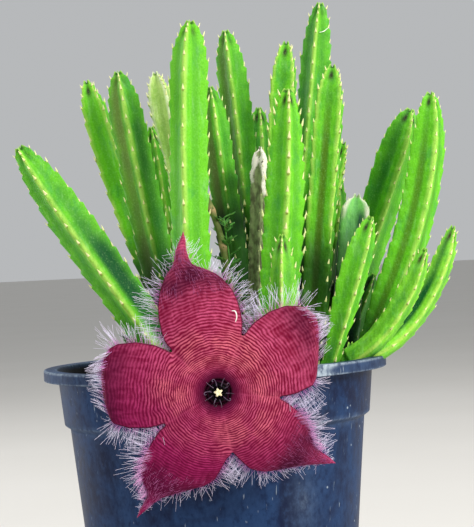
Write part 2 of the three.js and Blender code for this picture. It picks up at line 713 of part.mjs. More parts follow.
/** A feathery weed: a thin stem with leaflets all round it, joined as one. */
function sprigGeometry({ root, tip, leaflets, reach, seed }) {
  const random = randomFrom(seed);
  const start = new THREE.Vector3(...root);
  const end = new THREE.Vector3(...tip);
  const parts = [rod(start, end, SPRIG_RADIUS, 5, SPRIG_TIP_RADIUS)];
  for (let leaflet = 0; leaflet < leaflets; leaflet += 1) {
    const share = THREE.MathUtils.lerp(LEAFLETS_START, 1, leaflet / leaflets);
    const from = start.clone().lerp(end, share);
    const angle = leaflet * LEAFLET_TURN + random();
    const length = reach * (0.7 + 0.4 * random());
    const to = from.clone().add(new THREE.Vector3(
      length * Math.cos(angle),
      0.7 * length * Math.sin(angle),
      length * (0.5 + 0.3 * random()),
    ));
    parts.push(spike(from, to, LEAFLET_RADIUS, 3));
  }
  return joined(parts);
}

// The whole object

add('pot', potGeometry(), 0x1c2740, 0.6);

const rooted = [...STEMS, DRIED_STEM, PAIR_TRUNK, FLOWERING_STEM];
const holes = rooted.map((stem) => {
  const path = pathOf(stem);
  return holeFor(path.getPointAt(0), path.getTangentAt(0), stem.rib * (stem.foot ?? FOOT_SHARE));
});
holes.push(holeFor(new THREE.Vector3(...BARE_STALK_POINTS[0]), UP, BARE_STALK_RADIUS));
for (const { root, tip } of SPRIGS) {
  const start = new THREE.Vector3(...root);
  const tangent = new THREE.Vector3(...tip).sub(start).normalize();
  holes.push(holeFor(start, tangent, SPRIG_RADIUS));
}
add('soil', soilGeometry(holes), 0x2a221b, 0.95);

for (const stem of STEMS) {
  const color = stem.name === 'stem_pale_club' ? 0xa9c982 : 0x4fae2f;
  add(stem.name, stemGeometry(stem), color, 0.5);
}
add(DRIED_STEM.name, stemGeometry(DRIED_STEM), 0x7a7060, 0.85);
add('stem_right_pair', joined([PAIR_TRUNK, ...PAIR_BRANCHES].map(stemGeometry)), 0x6cc23a, 0.5);
add('stem_flowering', joined([stemGeometry(FLOWERING_STEM), ...calyxGeometries()]), 0x7cc940, 0.5);
add('bare_stalk', tube(BARE_STALK_POINTS, BARE_STALK_RADIUS, 7, 10), 0x6b7a3a, 0.6);
for (const sprig of SPRIGS) {
  add(sprig.name, sprigGeometry(sprig), 0x2f7a2a, 0.7);
}

add('corolla', joined([corollaGeometry(), ...hairGeometries()]), 0x9e1f3f, 0.6);
add('corona', coronaGeometry(), 0x1a0a12, 0.35);
add('column_star', starGeometry(), 0xf2e3a0, 0.5);

export default object;
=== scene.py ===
"""A potted hairy starfish flower: toothed four-ribbed stems in a plastic nursery pot, with one large
crimson five-lobed flower, fringed with pale hairs, hanging over the front of the rim.

Sizes are in millimetres, as in the part's own source, and turn into metres when a mesh is made.
The front is -Y, +Z is up, and the origin is the middle of the pot's flat underside.
"""

import logging
import math
from dataclasses import dataclass, field, replace
from enum import Enum
from typing import Any, Iterable, Sequence

import bmesh
import bpy
import numpy as np
from mathutils import Matrix, Vector


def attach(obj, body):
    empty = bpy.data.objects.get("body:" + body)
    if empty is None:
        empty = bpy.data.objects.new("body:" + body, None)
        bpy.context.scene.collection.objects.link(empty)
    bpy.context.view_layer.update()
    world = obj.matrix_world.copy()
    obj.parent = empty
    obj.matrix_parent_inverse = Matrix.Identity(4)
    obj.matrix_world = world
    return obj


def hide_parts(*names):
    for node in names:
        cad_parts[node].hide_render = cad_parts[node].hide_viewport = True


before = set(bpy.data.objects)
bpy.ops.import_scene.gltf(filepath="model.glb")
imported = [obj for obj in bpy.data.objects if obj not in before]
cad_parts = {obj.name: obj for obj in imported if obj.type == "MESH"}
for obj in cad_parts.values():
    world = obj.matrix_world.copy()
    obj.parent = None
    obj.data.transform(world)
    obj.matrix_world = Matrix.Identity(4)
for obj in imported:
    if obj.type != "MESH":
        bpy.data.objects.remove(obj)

MM = 0.001
ROOT_BODY = "root"

log = logging.getLogger("starfish_flower")

Point = tuple[float, float, float]
Colour = tuple[float, float, float, float]


def paint(red: float, green: float, blue: float) -> Colour:
    """Turns a display colour into the linear one that a shader takes.

    Args:
        red: Red from 0 to 255, as a screen shows it.
        green: Green, likewise.
        blue: Blue, likewise.

    Returns:
        The linear colour with full alpha.
    """

    def linear(value: float) -> float:
        """One channel as linear light."""
        share = value / 255
        return share / 12.92 if share <= 0.04045 else ((share + 0.055) / 1.055) ** 2.4

    return linear(red), linear(green), linear(blue), 1.0


def smoothstep(low: float, high: float, value: np.ndarray | float) -> np.ndarray:
    """A smooth rise from 0 at low to 1 at high."""
    share = np.clip((np.asarray(value, float) - low) / (high - low), 0, 1)
    return share * share * (3 - 2 * share)


def unit(vectors: np.ndarray) -> np.ndarray:
    """The vectors along the last axis, each one unit long."""
    return vectors / np.maximum(np.linalg.norm(vectors, axis=-1, keepdims=True), 1e-9)


def round_turn(count: int) -> np.ndarray:
    """Even angles round a circle, in radians."""
    return 2 * np.pi * np.arange(count) / count


def lumps(places: np.ndarray, size: float, seed: int) -> np.ndarray:
    """Smooth random noise in space.

    Args:
        places: Points, with x, y and z on the last axis.
        size: How far apart its lumps lie, in the points' unit.
        seed: Which noise.

    Returns:
        Values from -1 to 1, one for each point.
    """
    cells = np.asarray(places, float) / size
    base = np.floor(cells).astype(np.int64)
    part = cells - base
    part = part * part * (3 - 2 * part)
    total = np.zeros(cells.shape[:-1])
    for corner in range(8):
        step = np.array([corner & 1, corner >> 1 & 1, corner >> 2 & 1])
        key = base + step
        mixed = key[..., 0] * 374761393 + key[..., 1] * 668265263 + key[..., 2] * 1440662683
        mixed = ((mixed + seed * 1274126177) & 0xFFFFFFFF) * 1103515245
        mixed = (mixed ^ (mixed >> 15)) & 0xFFFFFFFF
        mixed = (mixed * 2246822519) & 0xFFFFFFFFFFFF
        value = ((mixed >> 16) & 0xFFFF) / 32767.5 - 1
        total += np.prod(np.where(step, part, 1 - part), axis=-1) * value
    return total


class Skin:
    """Points in millimetres, faces, and named numbers on the points, gathered for one mesh."""

    def __init__(self) -> None:
        """Starts with nothing."""
        self.points: list[np.ndarray] = []
        self.faces: list[tuple[int, ...]] = []
        self.looks: list[int] = []
        self.numbers: dict[str, list[tuple[int, np.ndarray]]] = {}
        self.count = 0

    def add_points(self, places: np.ndarray, **numbers: Any) -> int:
        """Adds loose points.

        Args:
            places: The points, any shape whose last axis is x, y, z.
            **numbers: A number, or an array of numbers or vectors, for each point.

        Returns:
            The index of the first point added.
        """
        start = self.count
        flat = np.asarray(places, float).reshape(-1, 3)
        self.points.append(flat)
        self.count += len(flat)
        for name, values in numbers.items():
            values = np.asarray(values, float)
            wide = values.ndim > 0 and values.shape[-1] == 3 and values.size == 3 * len(flat)
            if wide:
                values = values.reshape(-1, 3)
            elif values.size == len(flat):
                values = values.reshape(-1)
            else:
                values = np.broadcast_to(values, np.asarray(places).shape[:-1]).reshape(-1)
            self.numbers.setdefault(name, []).append((start, values))
        return start

    def add_faces(self, faces: Iterable[Sequence[int]], look: int = 0) -> None:
        """Adds faces, all in one material.

        Args:
            faces: Corner indices of each face.
            look: Index of the material.
        """
        before = len(self.faces)
        self.faces.extend(tuple(face) for face in faces)
        self.looks.extend([look] * (len(self.faces) - before))

    def add_grid(self, places: np.ndarray, closed: bool, look: int = 0, **numbers: Any) -> np.ndarray:
        """Adds a grid of points with a quad between each four.

        Args:
            places: The points by row, column and x, y, z.
            closed: Whether the last column joins the first.
            look: Index of the material.
            **numbers: As in add_points.

        Returns:
            The index of each point, by row and column.
        """
        rows, columns = places.shape[:2]
        index = self.add_points(places, **numbers) + np.arange(rows * columns).reshape(rows, columns)
        here, ahead = (index, np.roll(index, -1, axis=1)) if closed else (index[:, :-1], index[:, 1:])
        quads = np.stack([here[:-1], ahead[:-1], ahead[1:], here[1:]], axis=-1).reshape(-1, 4)
        self.add_faces(quads.tolist(), look)
        return index

    def fan(self, ring: np.ndarray, middle: Any, front: bool, look: int = 0, **numbers: Any) -> None:
        """Closes a ring with triangles round one point.

        Args:
            ring: Indices of the ring's points.
            middle: Where the one point is.
            front: Whether the ring is the last of its grid rather than the first.
            look: Index of the material.
            **numbers: As in add_points.
        """
        point = self.add_points(np.array([middle]), **numbers)
        ahead = np.roll(ring, -1)
        first, second = (ring, ahead) if front else (ahead, ring)
        self.add_faces(np.stack([first, second, np.full(len(ring), point)], axis=1).tolist(), look)

    def add_closed(self, places: Any, first: Any = None, last: Any = None, look: int = 0,
                   **numbers: Any) -> None:
        """Adds a grid that runs round, and closes both its ends.

        Args:
            places: The points by row, column and x, y, z.
            first: Middle of the fan that closes the first row. Without it one flat face closes each end.
            last: Middle of the fan that closes the last row.
            look: Index of the material.
            **numbers: As in add_points, the same for every point.
        """
        index = self.add_grid(np.array(places), True, look, **numbers)
        if first is None:
            self.add_faces([index[0][::-1], index[-1]], look)
            return
        self.fan(index[0], first, False, look, **numbers)
        self.fan(index[-1], last, True, look, **numbers)

    def make(self, name: str, *finishes: bpy.types.Material) -> bpy.types.Object:
        """Makes the mesh and its object.

        Args:
            name: The piece's name.
            *finishes: Its materials, in the order of the look indices.

        Returns:
            The object, linked to the scene.
        """
        mesh = bpy.data.meshes.new(name)
        places = np.concatenate(self.points) * MM
        mesh.from_pydata(places, [], self.faces)
        mesh.shade_smooth()
        for finish in finishes:
            mesh.materials.append(finish)
        mesh.polygons.foreach_set("material_index", np.array(self.looks, np.int32))
        for label, parts in self.numbers.items():
            wide = parts[0][1].ndim == 2
            values = np.zeros((self.count, 3) if wide else self.count, np.float32)
            for start, given in parts:
                values[start:start + len(given)] = given
            kind = "FLOAT_VECTOR" if wide else "FLOAT"
            layer = mesh.attributes.new(label, kind, "POINT")
            layer.data.foreach_set("vector" if wide else "value", values.ravel())
        piece = bpy.data.objects.new(name, mesh)
        bpy.context.scene.collection.objects.link(piece)
        return piece


def settle(piece: bpy.types.Object, slot: str, *nodes: str) -> None:
    """Puts a finished piece on the object's one body and reports it.

    Args:
        piece: The finished piece.
        slot: The record's material slot; it is not used.
        *nodes: The CAD nodes that it stands for.
    """
    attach(piece, ROOT_BODY)
    if nodes:
        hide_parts(*nodes)
    log.info("%s: %d faces", piece.name, len(piece.data.polygons))


# Node trees and materials


class Tree:
    """A node tree while it is being built."""

    def __init__(self, tree: bpy.types.NodeTree) -> None:
        """Keeps the tree."""
        self.tree = tree

    def node(self, kind: str, inputs: dict[Any, Any] | None = None, **settings: Any) -> bpy.types.Node:
        """Adds one node.

        Args:
            kind: The node's type.
            inputs: For each named or numbered input a value, a socket, or a node for its first output.
            **settings: The node's own properties.

        Returns:
            The node.
        """
        made = self.tree.nodes.new(kind)
        for key, value in settings.items():
            setattr(made, key, value)
        for key, value in (inputs or {}).items():
            if isinstance(value, bpy.types.Node):
                value = value.outputs[0]
            if isinstance(value, bpy.types.NodeSocket):
                self.tree.links.new(value, made.inputs[key])
            else:
                made.inputs[key].default_value = value
        return made


class Brush(Tree):
    """A material's node tree while it is being painted."""

    def __init__(self, name: str) -> None:
        """Starts an empty material of that name.

        Args:
            name: The material's name.
        """
        self.material = bpy.data.materials.new(name)
        self.material.use_nodes = True
        super().__init__(self.material.node_tree)
        self.tree.nodes.clear()

    def number(self, name: str) -> bpy.types.NodeSocket:
        """The value of a named number on the mesh."""
        return self.node("ShaderNodeAttribute", attribute_name=name).outputs["Fac"]

    def place(self, stretch: Point = (1.0, 1.0, 1.0)) -> bpy.types.NodeSocket:
        """Object coordinates in metres, stretched."""
        where = self.node("ShaderNodeTexCoord").outputs["Object"]
        return self.node("ShaderNodeMapping", {"Vector": where, "Scale": stretch}).outputs["Vector"]

    def noise(self, scale: float, stretch: Point = (1.0, 1.0, 1.0), detail: float = 3.0,
              roughness: float = 0.55, distortion: float = 0.0) -> bpy.types.NodeSocket:
        """Noise from 0 to 1 on object coordinates, with scale lumps in a metre.

        Args:
            scale: Lumps in a metre.
            stretch: Stretch of the coordinates.
            detail: How many finer layers it has.
            roughness: How strong the finer layers are.
            distortion: How much it is warped.

        Returns:
            The noise.
        """
        return self.node("ShaderNodeTexNoise", {
            "Vector": self.place(stretch), "Scale": scale, "Detail": detail,
            "Roughness": roughness, "Distortion": distortion,
        }).outputs["Fac"]

    def sum(self, operation: str, first: Any, second: Any = 0.0) -> bpy.types.NodeSocket:
        """The result of one Math operation on two numbers or sockets."""
        return self.node("ShaderNodeMath", {0: first, 1: second}, operation=operation).outputs[0]

    def times(self, first: Any, second: Any) -> bpy.types.NodeSocket:
        """The product of two numbers or sockets."""
        return self.sum("MULTIPLY", first, second)

    def span(self, value: bpy.types.NodeSocket, low: float, high: float,
             to_low: float = 0.0, to_high: float = 1.0) -> bpy.types.NodeSocket:
        """A value's range from low to high, carried smoothly to the range from to_low to to_high.

        Args:
            value: The value.
            low: Low end of its range.
            high: High end of its range.
            to_low: What the low end becomes.
            to_high: What the high end becomes.

        Returns:
            The carried value.
        """
        return self.node("ShaderNodeMapRange", {
            "Value": value, "From Min": low, "From Max": high, "To Min": to_low, "To Max": to_high,
        }, interpolation_type="SMOOTHSTEP").outputs["Result"]

    def mix(self, share: Any, first: Any, second: Any) -> bpy.types.NodeSocket:
        """Two colours mixed, with that share of the second."""
        inputs = {0: share, 6: first, 7: second}
        return self.node("ShaderNodeMix", inputs, data_type="RGBA").outputs[2]

    def coats(self, body: Any, *coats: tuple[Any, ...]) -> bpy.types.NodeSocket:
        """Lays colours over one another.

        Args:
            body: The lowest colour.
            *coats: From the lowest up, each coat's share of what shows, and its colour. The share
                is one socket, or the arguments of span.

        Returns:
            The colour that shows.
        """
        for *share, colour in coats:
            body = self.mix(self.span(*share) if len(share) > 1 else share[0], body, colour)
        return body

    def relief(self, height: bpy.types.NodeSocket, depth: float,
               under: bpy.types.NodeSocket | None = None) -> bpy.types.NodeSocket:
        """A bump on the surface.

        Args:
            height: Height from 0 to 1.
            depth: How deep a height of 1 is, in metres.
            under: A bump that lies below this one.

        Returns:
            The surface's normal.
        """
        inputs = {"Height": height, "Distance": depth, "Strength": 1.0}
        if under is not None:
            inputs["Normal"] = under
        return self.node("ShaderNodeBump", inputs).outputs["Normal"]

    def finish(self, colour: Any, roughness: Any, normal: bpy.types.NodeSocket | None = None,
               **sockets: Any) -> bpy.types.Material:
        """Ends the tree in its surface.

        Args:
            colour: Base colour or a socket.
            roughness: Roughness or a socket.
            normal: The bumped normal.
            **sockets: Constants for the shader's other sockets, with _ for a space.

        Returns:
            The material.
        """
        inputs = {"Base Color": colour, "Roughness": roughness}
        inputs.update({key.replace("_", " "): value for key, value in sockets.items()})
        if normal is not None:
            inputs["Normal"] = normal
        surface = self.node("ShaderNodeBsdfPrincipled", inputs)
        self.node("ShaderNodeOutputMaterial", {"Surface": surface})
        return self.material


@dataclass(frozen=True)
class StemFinish:
    """A stem's velvety green skin: mesh numbers turn it brown or pale, and lay painted shade and light on
    it.
    """

    name: str = "stem skin"
    face: Colour = paint(80, 162, 36)
    # lit is the green where painted light falls; shade and gloom are painted shade.
    lit: Colour = paint(110, 202, 32)
    groove: Colour = paint(36, 122, 34)
    shade: Colour = paint(10, 84, 36)
    band: Colour = paint(84, 110, 14)
    edge: Colour = paint(180, 224, 96)
    brown: Colour = paint(126, 116, 68)
    tip: Colour = paint(40, 24, 24)
    gloom: Colour = paint(4, 32, 10)
    bloom: Colour = paint(160, 220, 136)
    cool: Colour = paint(64, 158, 74)

    def make(self) -> bpy.types.Material:
        """Paints the material.

        Returns:
            The material.
        """
        brush = Brush(self.name)
        ridge = brush.number("ridge")
        streaks = brush.noise(300, (1.0, 1.0, 0.22), detail=4)
        glow = brush.sum(
            "ADD", brush.number("glow"), brush.span(brush.noise(75, detail=4), 0.3, 0.7, -0.3, 0.3),
        )
        patches = brush.noise(130, (1.0, 1.0, 0.55), detail=5, roughness=0.65)
        line = brush.times(brush.span(ridge, 0.5, 0.92), brush.span(streaks, 0.3, 0.6, 0.4, 0.85))
        grain = brush.noise(1000)
        # The glow number mixes in the painted light, and the dark and gloom numbers the painted shade.
        body = brush.coats(
            self.face, (glow, 0.0, 1.0, self.lit), (patches, 0.5, 0.7, 0.0, 0.5, self.cool),
            (streaks, 0.52, 0.8, 0.0, 0.4, self.bloom), (streaks, 0.22, 0.46, 0.3, 0.0, self.groove),
            (ridge, 0.0, 0.3, 0.34, 0.0, self.groove), (brush.number("band"), self.band),
            (brush.number("brown"), self.brown), (brush.number("dark"), self.shade), (line, self.edge),
            (brush.number("tipward"), self.tip), (grain, 0.5, 0.75, 0.0, 0.2, self.bloom),
            (grain, 0.25, 0.48, 0.3, 0.0, self.groove), (brush.number("gloom"), self.gloom),
        )
        skin = brush.relief(brush.noise(2600, detail=2), 0.00012)
        skin = brush.relief(brush.noise(420, (1.0, 1.0, 0.4)), 0.0006, skin)
        return brush.finish(
            body, brush.span(streaks, 0.3, 0.8, 0.5, 0.62), skin, Subsurface_Weight=0.1,
            Subsurface_Radius=(0.0014, 0.0022, 0.0006), Subsurface_Scale=1.0, Specular_IOR_Level=0.16,
        )


@dataclass(frozen=True)
class ToothFinish:
    """Cream teeth on a dull green base."""

    name: str = "stem teeth"
    base: Colour = paint(166, 186, 78)
    cream: Colour = paint(244, 240, 166)
    point: Colour = paint(255, 246, 224)

    def make(self) -> bpy.types.Material:
        """Paints the material.

        Returns:
            The material.
        """
        brush = Brush(self.name)
        up = brush.number("tooth_up")
        stain = brush.noise(500, detail=2)
        body = brush.coats(
            self.base, (up, 0.08, 0.18, self.cream), (up, 0.8, 1.0, 0.0, 0.6, self.point),
            (stain, 0.55, 0.75, 0.0, 0.45, self.base),
        )
        return brush.finish(body, 0.5, brush.relief(stain, 0.0001), Subsurface_Weight=0.1)


@dataclass(frozen=True)
class PotFinish:
    """Weathered blue-black plastic, scuffed and dusty at its rim and step, with painted sheen and shade."""

    name: str = "pot plastic"
    deep: Colour = paint(1, 11, 46)
    worn: Colour = paint(28, 57, 98)
    # The dust colour also paints the sheen bands and the highlight lines at the rim's edges.
    dust_and_sheen: Colour = paint(78, 96, 124)
    chalk: Colour = paint(180, 194, 204)
    # inside is painted shade on the pot's inner wall and floor.
    inside: Colour = paint(1, 2, 4)

    def make(self) -> bpy.types.Material:
        """Paints the material.

        Returns:
            The material.
        """
        brush = Brush(self.name)
        clouds = brush.noise(24, (1.0, 1.0, 0.6), detail=6, roughness=0.68, distortion=0.6)
        fine = brush.noise(300, (1.0, 1.0, 0.7), detail=5, roughness=0.65)
        # This number holds real wear and scuffs, together with painted sheen bands and painted highlight
        # lines at the rim's edges.
        wear = brush.number("wear")
        dust_and_sheen_share = brush.times(wear, brush.span(fine, 0.3, 0.7, 0.4, 1.0))
        scuffs = brush.times(brush.span(wear, 0.52, 0.85), brush.span(fine, 0.36, 0.6, 0.15, 0.9))
        scuffs = brush.times(scuffs, brush.span(clouds, 0.38, 0.6, 0.35, 1.0))
        scratches = brush.span(brush.noise(90, (9.0, 9.0, 0.7), detail=2), 0.7, 0.75)
        scratches = brush.times(scratches, brush.span(clouds, 0.45, 0.6))
        spots = brush.node("ShaderNodeTexVoronoi", {"Vector": brush.place(), "Scale": 150.0})
        specks = brush.span(spots.outputs["Distance"], 0.05, 0.14, 1.0, 0.0)
        specks = brush.times(specks, brush.span(brush.noise(60, detail=1), 0.56, 0.64))
        marks = brush.times(brush.sum("MAXIMUM", scratches, specks), 0.6)
        body = brush.coats(
            self.deep, (clouds, 0.36, 0.72, self.worn), (fine, 0.5, 0.7, 0.0, 0.5, self.worn),
            (fine, 0.32, 0.5, 0.55, 0.0, self.deep), (dust_and_sheen_share, self.dust_and_sheen), (scuffs, self.chalk),
            (marks, self.chalk), (brush.number("inner"), self.inside),
        )
        rough = brush.sum("ADD", brush.span(clouds, 0.3, 0.75, 0.36, 0.5), brush.times(wear, 0.25))
        grain = brush.relief(brush.noise(1500), 0.00006)
        grain = brush.relief(brush.noise(34, (1.0, 1.0, 0.4), detail=2), 0.0006, grain)
        return brush.finish(body, rough, grain, Specular_IOR_Level=0.1)


@dataclass(frozen=True)
class SoilFinish:
    """Dark bark-based potting mix."""

    name: str = "potting mix"
    dark: Colour = paint(28, 21, 16)
    bark: Colour = paint(82, 60, 42)

    def make(self) -> bpy.types.Material:
        """Paints the material.

        Returns:
            The material.
        """
        brush = Brush(self.name)
        crumbs = brush.noise(340, detail=5, roughness=0.7)
        body = brush.coats(self.dark, (crumbs, 0.35, 0.72, self.bark))
        return brush.finish(body, 0.95, brush.relief(crumbs, 0.0012))


@dataclass(frozen=True)
class ChipFinish:
    """Bits of bark, grit and pale perlite on the soil."""

    name: str = "soil chips"
    bark: Colour = paint(96, 66, 44)
    grit: Colour = paint(142, 130, 112)
    perlite: Colour = paint(222, 218, 206)
    stain: Colour = paint(44, 32, 24)

    def make(self) -> bpy.types.Material:
        """Paints the material.

        Returns:
            The material.
        """
        brush = Brush(self.name)
        kind = brush.number("chip_kind")
        stain = brush.noise(700, detail=4)
        body = brush.coats(
            self.bark, (kind, 0.5, 0.56, self.grit), (kind, 0.86, 0.9, self.perlite),
            (stain, 0.4, 0.75, 0.0, 0.5, self.stain),
        )
        return brush.finish(body, 0.9, brush.relief(stain, 0.0004))


@dataclass(frozen=True)
class CorollaFinish:
    """Crimson flesh with dark wrinkles, painted salmon highlights towards the middle, purple at the lobes'
    ends.
    """

    name: str = "corolla flesh"
    # furrow and rose are the furrows' and crests' colours where painted light falls from above, and salmon a
    # painted highlight; rose also tints pale flecks.
    wrinkle: Colour = paint(98, 1, 46)
    furrow: Colour = paint(122, 6, 44)
    crimson: Colour = paint(154, 36, 92)
    rose: Colour = paint(206, 88, 126)
    salmon: Colour = paint(230, 118, 130)
    throat: Colour = paint(78, 2, 42)
    black: Colour = paint(3, 0, 3)
    end: Colour = paint(50, 3, 34)
    margin: Colour = paint(70, 6, 36)
    back: Colour = paint(176, 120, 128)
    vein: Colour = paint(150, 70, 96)

    def make(self) -> bpy.types.Material:
        """Paints the material.

        Returns:
            The material.
        """
        brush = Brush(self.name)
        out, upper = brush.number("out"), brush.number("upper")
        patches = brush.noise(70)
        # Painted salmon highlights in patches round the middle, most where painted light falls from above.
        warm_highlight = brush.times(brush.span(out, 10, 19), brush.span(out, 24, 42, 1.0, 0.0))
        warm_highlight = brush.times(warm_highlight, brush.span(upper, 0.0, 0.55, 0.35, 1.0))
        warm_highlight = brush.times(warm_highlight, brush.span(patches, 0.38, 0.66, 0.15, 0.9))
        # Painted light from above turns the crests rosier.
        top = brush.coats(self.crimson, (brush.times(upper, 0.9), self.rose), (warm_highlight, self.salmon))
        flecks = brush.noise(620, roughness=0.6)
        behind = brush.coats(self.back, (brush.noise(240), 0.4, 0.75, 0.0, 0.6, self.vein))
        # Painted light from above also lightens the furrows.
        body = brush.coats(
            brush.mix(upper, self.wrinkle, self.furrow), (brush.number("crest"), 0.08, 0.85, top),
            (flecks, 0.3, 0.5, 0.45, 0.0, self.wrinkle), (flecks, 0.55, 0.78, 0.0, 0.2, self.rose),
            (brush.times(brush.number("dusk"), 0.85), self.end), (out, 8.0, 14.0, 0.9, 0.0, self.throat),
            (out, 6.4, 8.4, 1.0, 0.0, self.black),
            (brush.number("edge"), 0.95, 0.995, 0.0, 0.9, self.margin),
            (patches, 0.5, 0.85, 0.0, 0.25, self.wrinkle), (brush.number("behind"), behind),
        )
        return brush.finish(
            body, 0.5, brush.relief(brush.noise(1400), 0.00016), Specular_IOR_Level=0.06,
        )


@dataclass(frozen=True)
class PlainFinish:
    """A mottled finish of two colours, for the small pieces.

    Where the mesh's number patch is above 0 it turns to the colour patch with dark spots.
    """

    name: str
    light: Colour
    shade: Colour
    roughness: float = 0.6
    lumps_in_a_metre: float = 500.0
    depth: float = 0.0002
    subsurface: float = 0.0
    shine: float = 0.5
    patch: Colour | None = None

    def make(self) -> bpy.types.Material:
        """Paints the material.

        Returns:
            The material.
        """
        brush = Brush(self.name)
        mottle = brush.noise(self.lumps_in_a_metre, (1.0, 1.0, 0.5), detail=4)
        body = brush.coats(self.light, (mottle, 0.35, 0.7, self.shade))
        if self.patch:
            patch = brush.coats(self.patch, (brush.noise(480), 0.58, 0.66, 0.0, 0.9, self.shade))
            body = brush.mix(brush.number("patch"), body, patch)
        return brush.finish(
            body, self.roughness, brush.relief(mottle, self.depth), Subsurface_Weight=self.subsurface,
            Specular_IOR_Level=self.shine,
        )


@dataclass(frozen=True)
class HairFinish:
    """Fine hairs whose colour changes from root to tip."""

    name: str
    root: Colour
    tip: Colour

    def make(self) -> bpy.types.Material:
        """Paints the material.

        Returns:
            The material.
        """
        brush = Brush(self.name)
        tone = brush.coats(
            self.root, (brush.number("hair_up"), 0.1, 0.5, self.tip),
            (brush.noise(300, detail=2), 0.3, 0.7, 0.0, 0.2, self.root),
        )
        return brush.finish(tone, 0.5, Specular_IOR_Level=0.3)


STEM_SKIN = StemFinish()
YOUNG_SKIN = replace(
    STEM_SKIN, name="young stem skin", face=paint(96, 180, 40), lit=paint(140, 222, 54),
    groove=paint(34, 124, 32), edge=paint(190, 232, 100), tip=paint(58, 40, 30),
)
PALE_SKIN = replace(
    STEM_SKIN, name="pale stem skin", face=paint(146, 190, 84), lit=paint(190, 218, 122),
    groove=paint(104, 152, 58), edge=paint(236, 238, 206), bloom=paint(226, 234, 200),
    cool=paint(140, 184, 96),
)
CORKY_SKIN = replace(
    STEM_SKIN, name="corky stem skin", face=paint(88, 164, 76), lit=paint(118, 192, 94),
    groove=paint(48, 112, 70), shade=paint(20, 56, 56), edge=paint(226, 218, 204), brown=paint(146, 124, 98),
    tip=paint(186, 172, 156), bloom=paint(140, 180, 150), cool=paint(70, 132, 100),
)
DEAD_SKIN = PlainFinish(
    "dead stem skin", paint(148, 162, 110), paint(90, 92, 62), 0.85, 420, 0.0006, patch=paint(246, 236, 226),
)
WOODY_STALK = PlainFinish(
    "woody stalk", paint(112, 130, 58), paint(88, 94, 40), 0.7, 260, 0.0003, patch=paint(176, 146, 104),
)
WEED_LEAF = PlainFinish("weed leaf", paint(96, 172, 62), paint(36, 104, 32), 0.6, 900, 0.0001, 0.05)
CORONA_GLOSS = PlainFinish(
    "corona", paint(1, 0, 1), paint(5, 1, 5), 0.35, 700, 0.00006, shine=0.05, patch=paint(44, 1, 26),
)
# The strands' lilac grey is partly their own pale colour and partly painted sheen on dark horns.
CORONA_STRAND = PlainFinish("corona strands", paint(96, 76, 100), paint(30, 12, 30), 0.3, 500, 0.0)
STAR_CREAM = PlainFinish("cream star", paint(255, 242, 200), paint(240, 214, 150), 0.45, 900, 0.0001, 0.1)
FRINGE_HAIR = HairFinish("fringe hair", paint(204, 120, 192), paint(236, 232, 252))
TUFT_HAIR = HairFinish("tuft hair", paint(160, 60, 132), paint(236, 176, 224))
DOWN_HAIR = HairFinish("down hair", paint(84, 10, 56), paint(176, 92, 148))
LINT = PlainFinish("white lint", paint(248, 246, 240), paint(232, 228, 216), 0.7, 600, 0.0)


# Growth: Geometry Nodes trees for what repeats


class Growth(Tree):
    """A Geometry Nodes tree while it is being built."""

    def __init__(self, name: str, **inputs: tuple[str, Any]) -> None:
        """Starts a tree.

        Args:
            name: The tree's name.
            **inputs: Socket type and first value of each named input.
        """
        super().__init__(bpy.data.node_groups.new(name, "GeometryNodeTree"))
        for way in ("INPUT", "OUTPUT"):
            self.tree.interface.new_socket("Geometry", in_out=way, socket_type="NodeSocketGeometry")
        for label, (kind, value) in inputs.items():
            socket = self.tree.interface.new_socket(label, in_out="INPUT", socket_type=kind)
            if value is not None:
                socket.default_value = value
        self.given = self.tree.nodes.new("NodeGroupInput").outputs

    def number(self, name: str, kind: str = "FLOAT") -> bpy.types.NodeSocket:
        """A named number or vector on the points."""
        return self.node("GeometryNodeInputNamedAttribute", {"Name": name}, data_type=kind).outputs[0]

    def close(self, geometry: bpy.types.Node, *more: bpy.types.NodeSocket) -> bpy.types.NodeTree:
        """Ends the tree.

        Args:
            geometry: A node whose geometry gets the material of the input Finish.
            *more: Other geometry to be joined to it.

        Returns:
            The tree.
        """
        real = self.node("GeometryNodeRealizeInstances", {0: geometry})
        whole = self.node("GeometryNodeSetMaterial", {"Geometry": real, "Material": self.given["Finish"]})
        if more:
            dressed, whole = whole, self.node("GeometryNodeJoinGeometry")
            for part in (dressed.outputs[0], *more):
                self.tree.links.new(part, whole.inputs[0])
        self.node("NodeGroupOutput", {0: whole})
        return self.tree


def bake(piece: bpy.types.Object, modifier: bpy.types.Modifier) -> None:
    """Keeps the result of a piece's modifier as its plain mesh, and removes the modifier.

    Args:
        piece: The piece.
        modifier: Its modifier.
    """
    reach = bpy.context.evaluated_depsgraph_get()
    mesh = bpy.data.meshes.new_from_object(
        piece.evaluated_get(reach), preserve_all_data_layers=True, depsgraph=reach,
    )
    piece.modifiers.remove(modifier)
    plain, piece.data = piece.data, mesh
    bpy.data.meshes.remove(plain)
    mesh.name = piece.name


def grow(piece: bpy.types.Object, tree: bpy.types.NodeTree, **inputs: Any) -> None:
    """Runs a tree on a piece and keeps the result as its plain mesh.

    Args:
        piece: The piece.
        tree: The tree.
        **inputs: A value for each of the tree's named inputs.
    """
    modifier = piece.modifiers.new("growth", "NODES")
    modifier.node_group = tree
    for item in tree.interface.items_tree:
        if item.in_out == "INPUT" and item.name in inputs:
            modifier[item.identifier] = inputs[item.name]
    bake(piece, modifier)


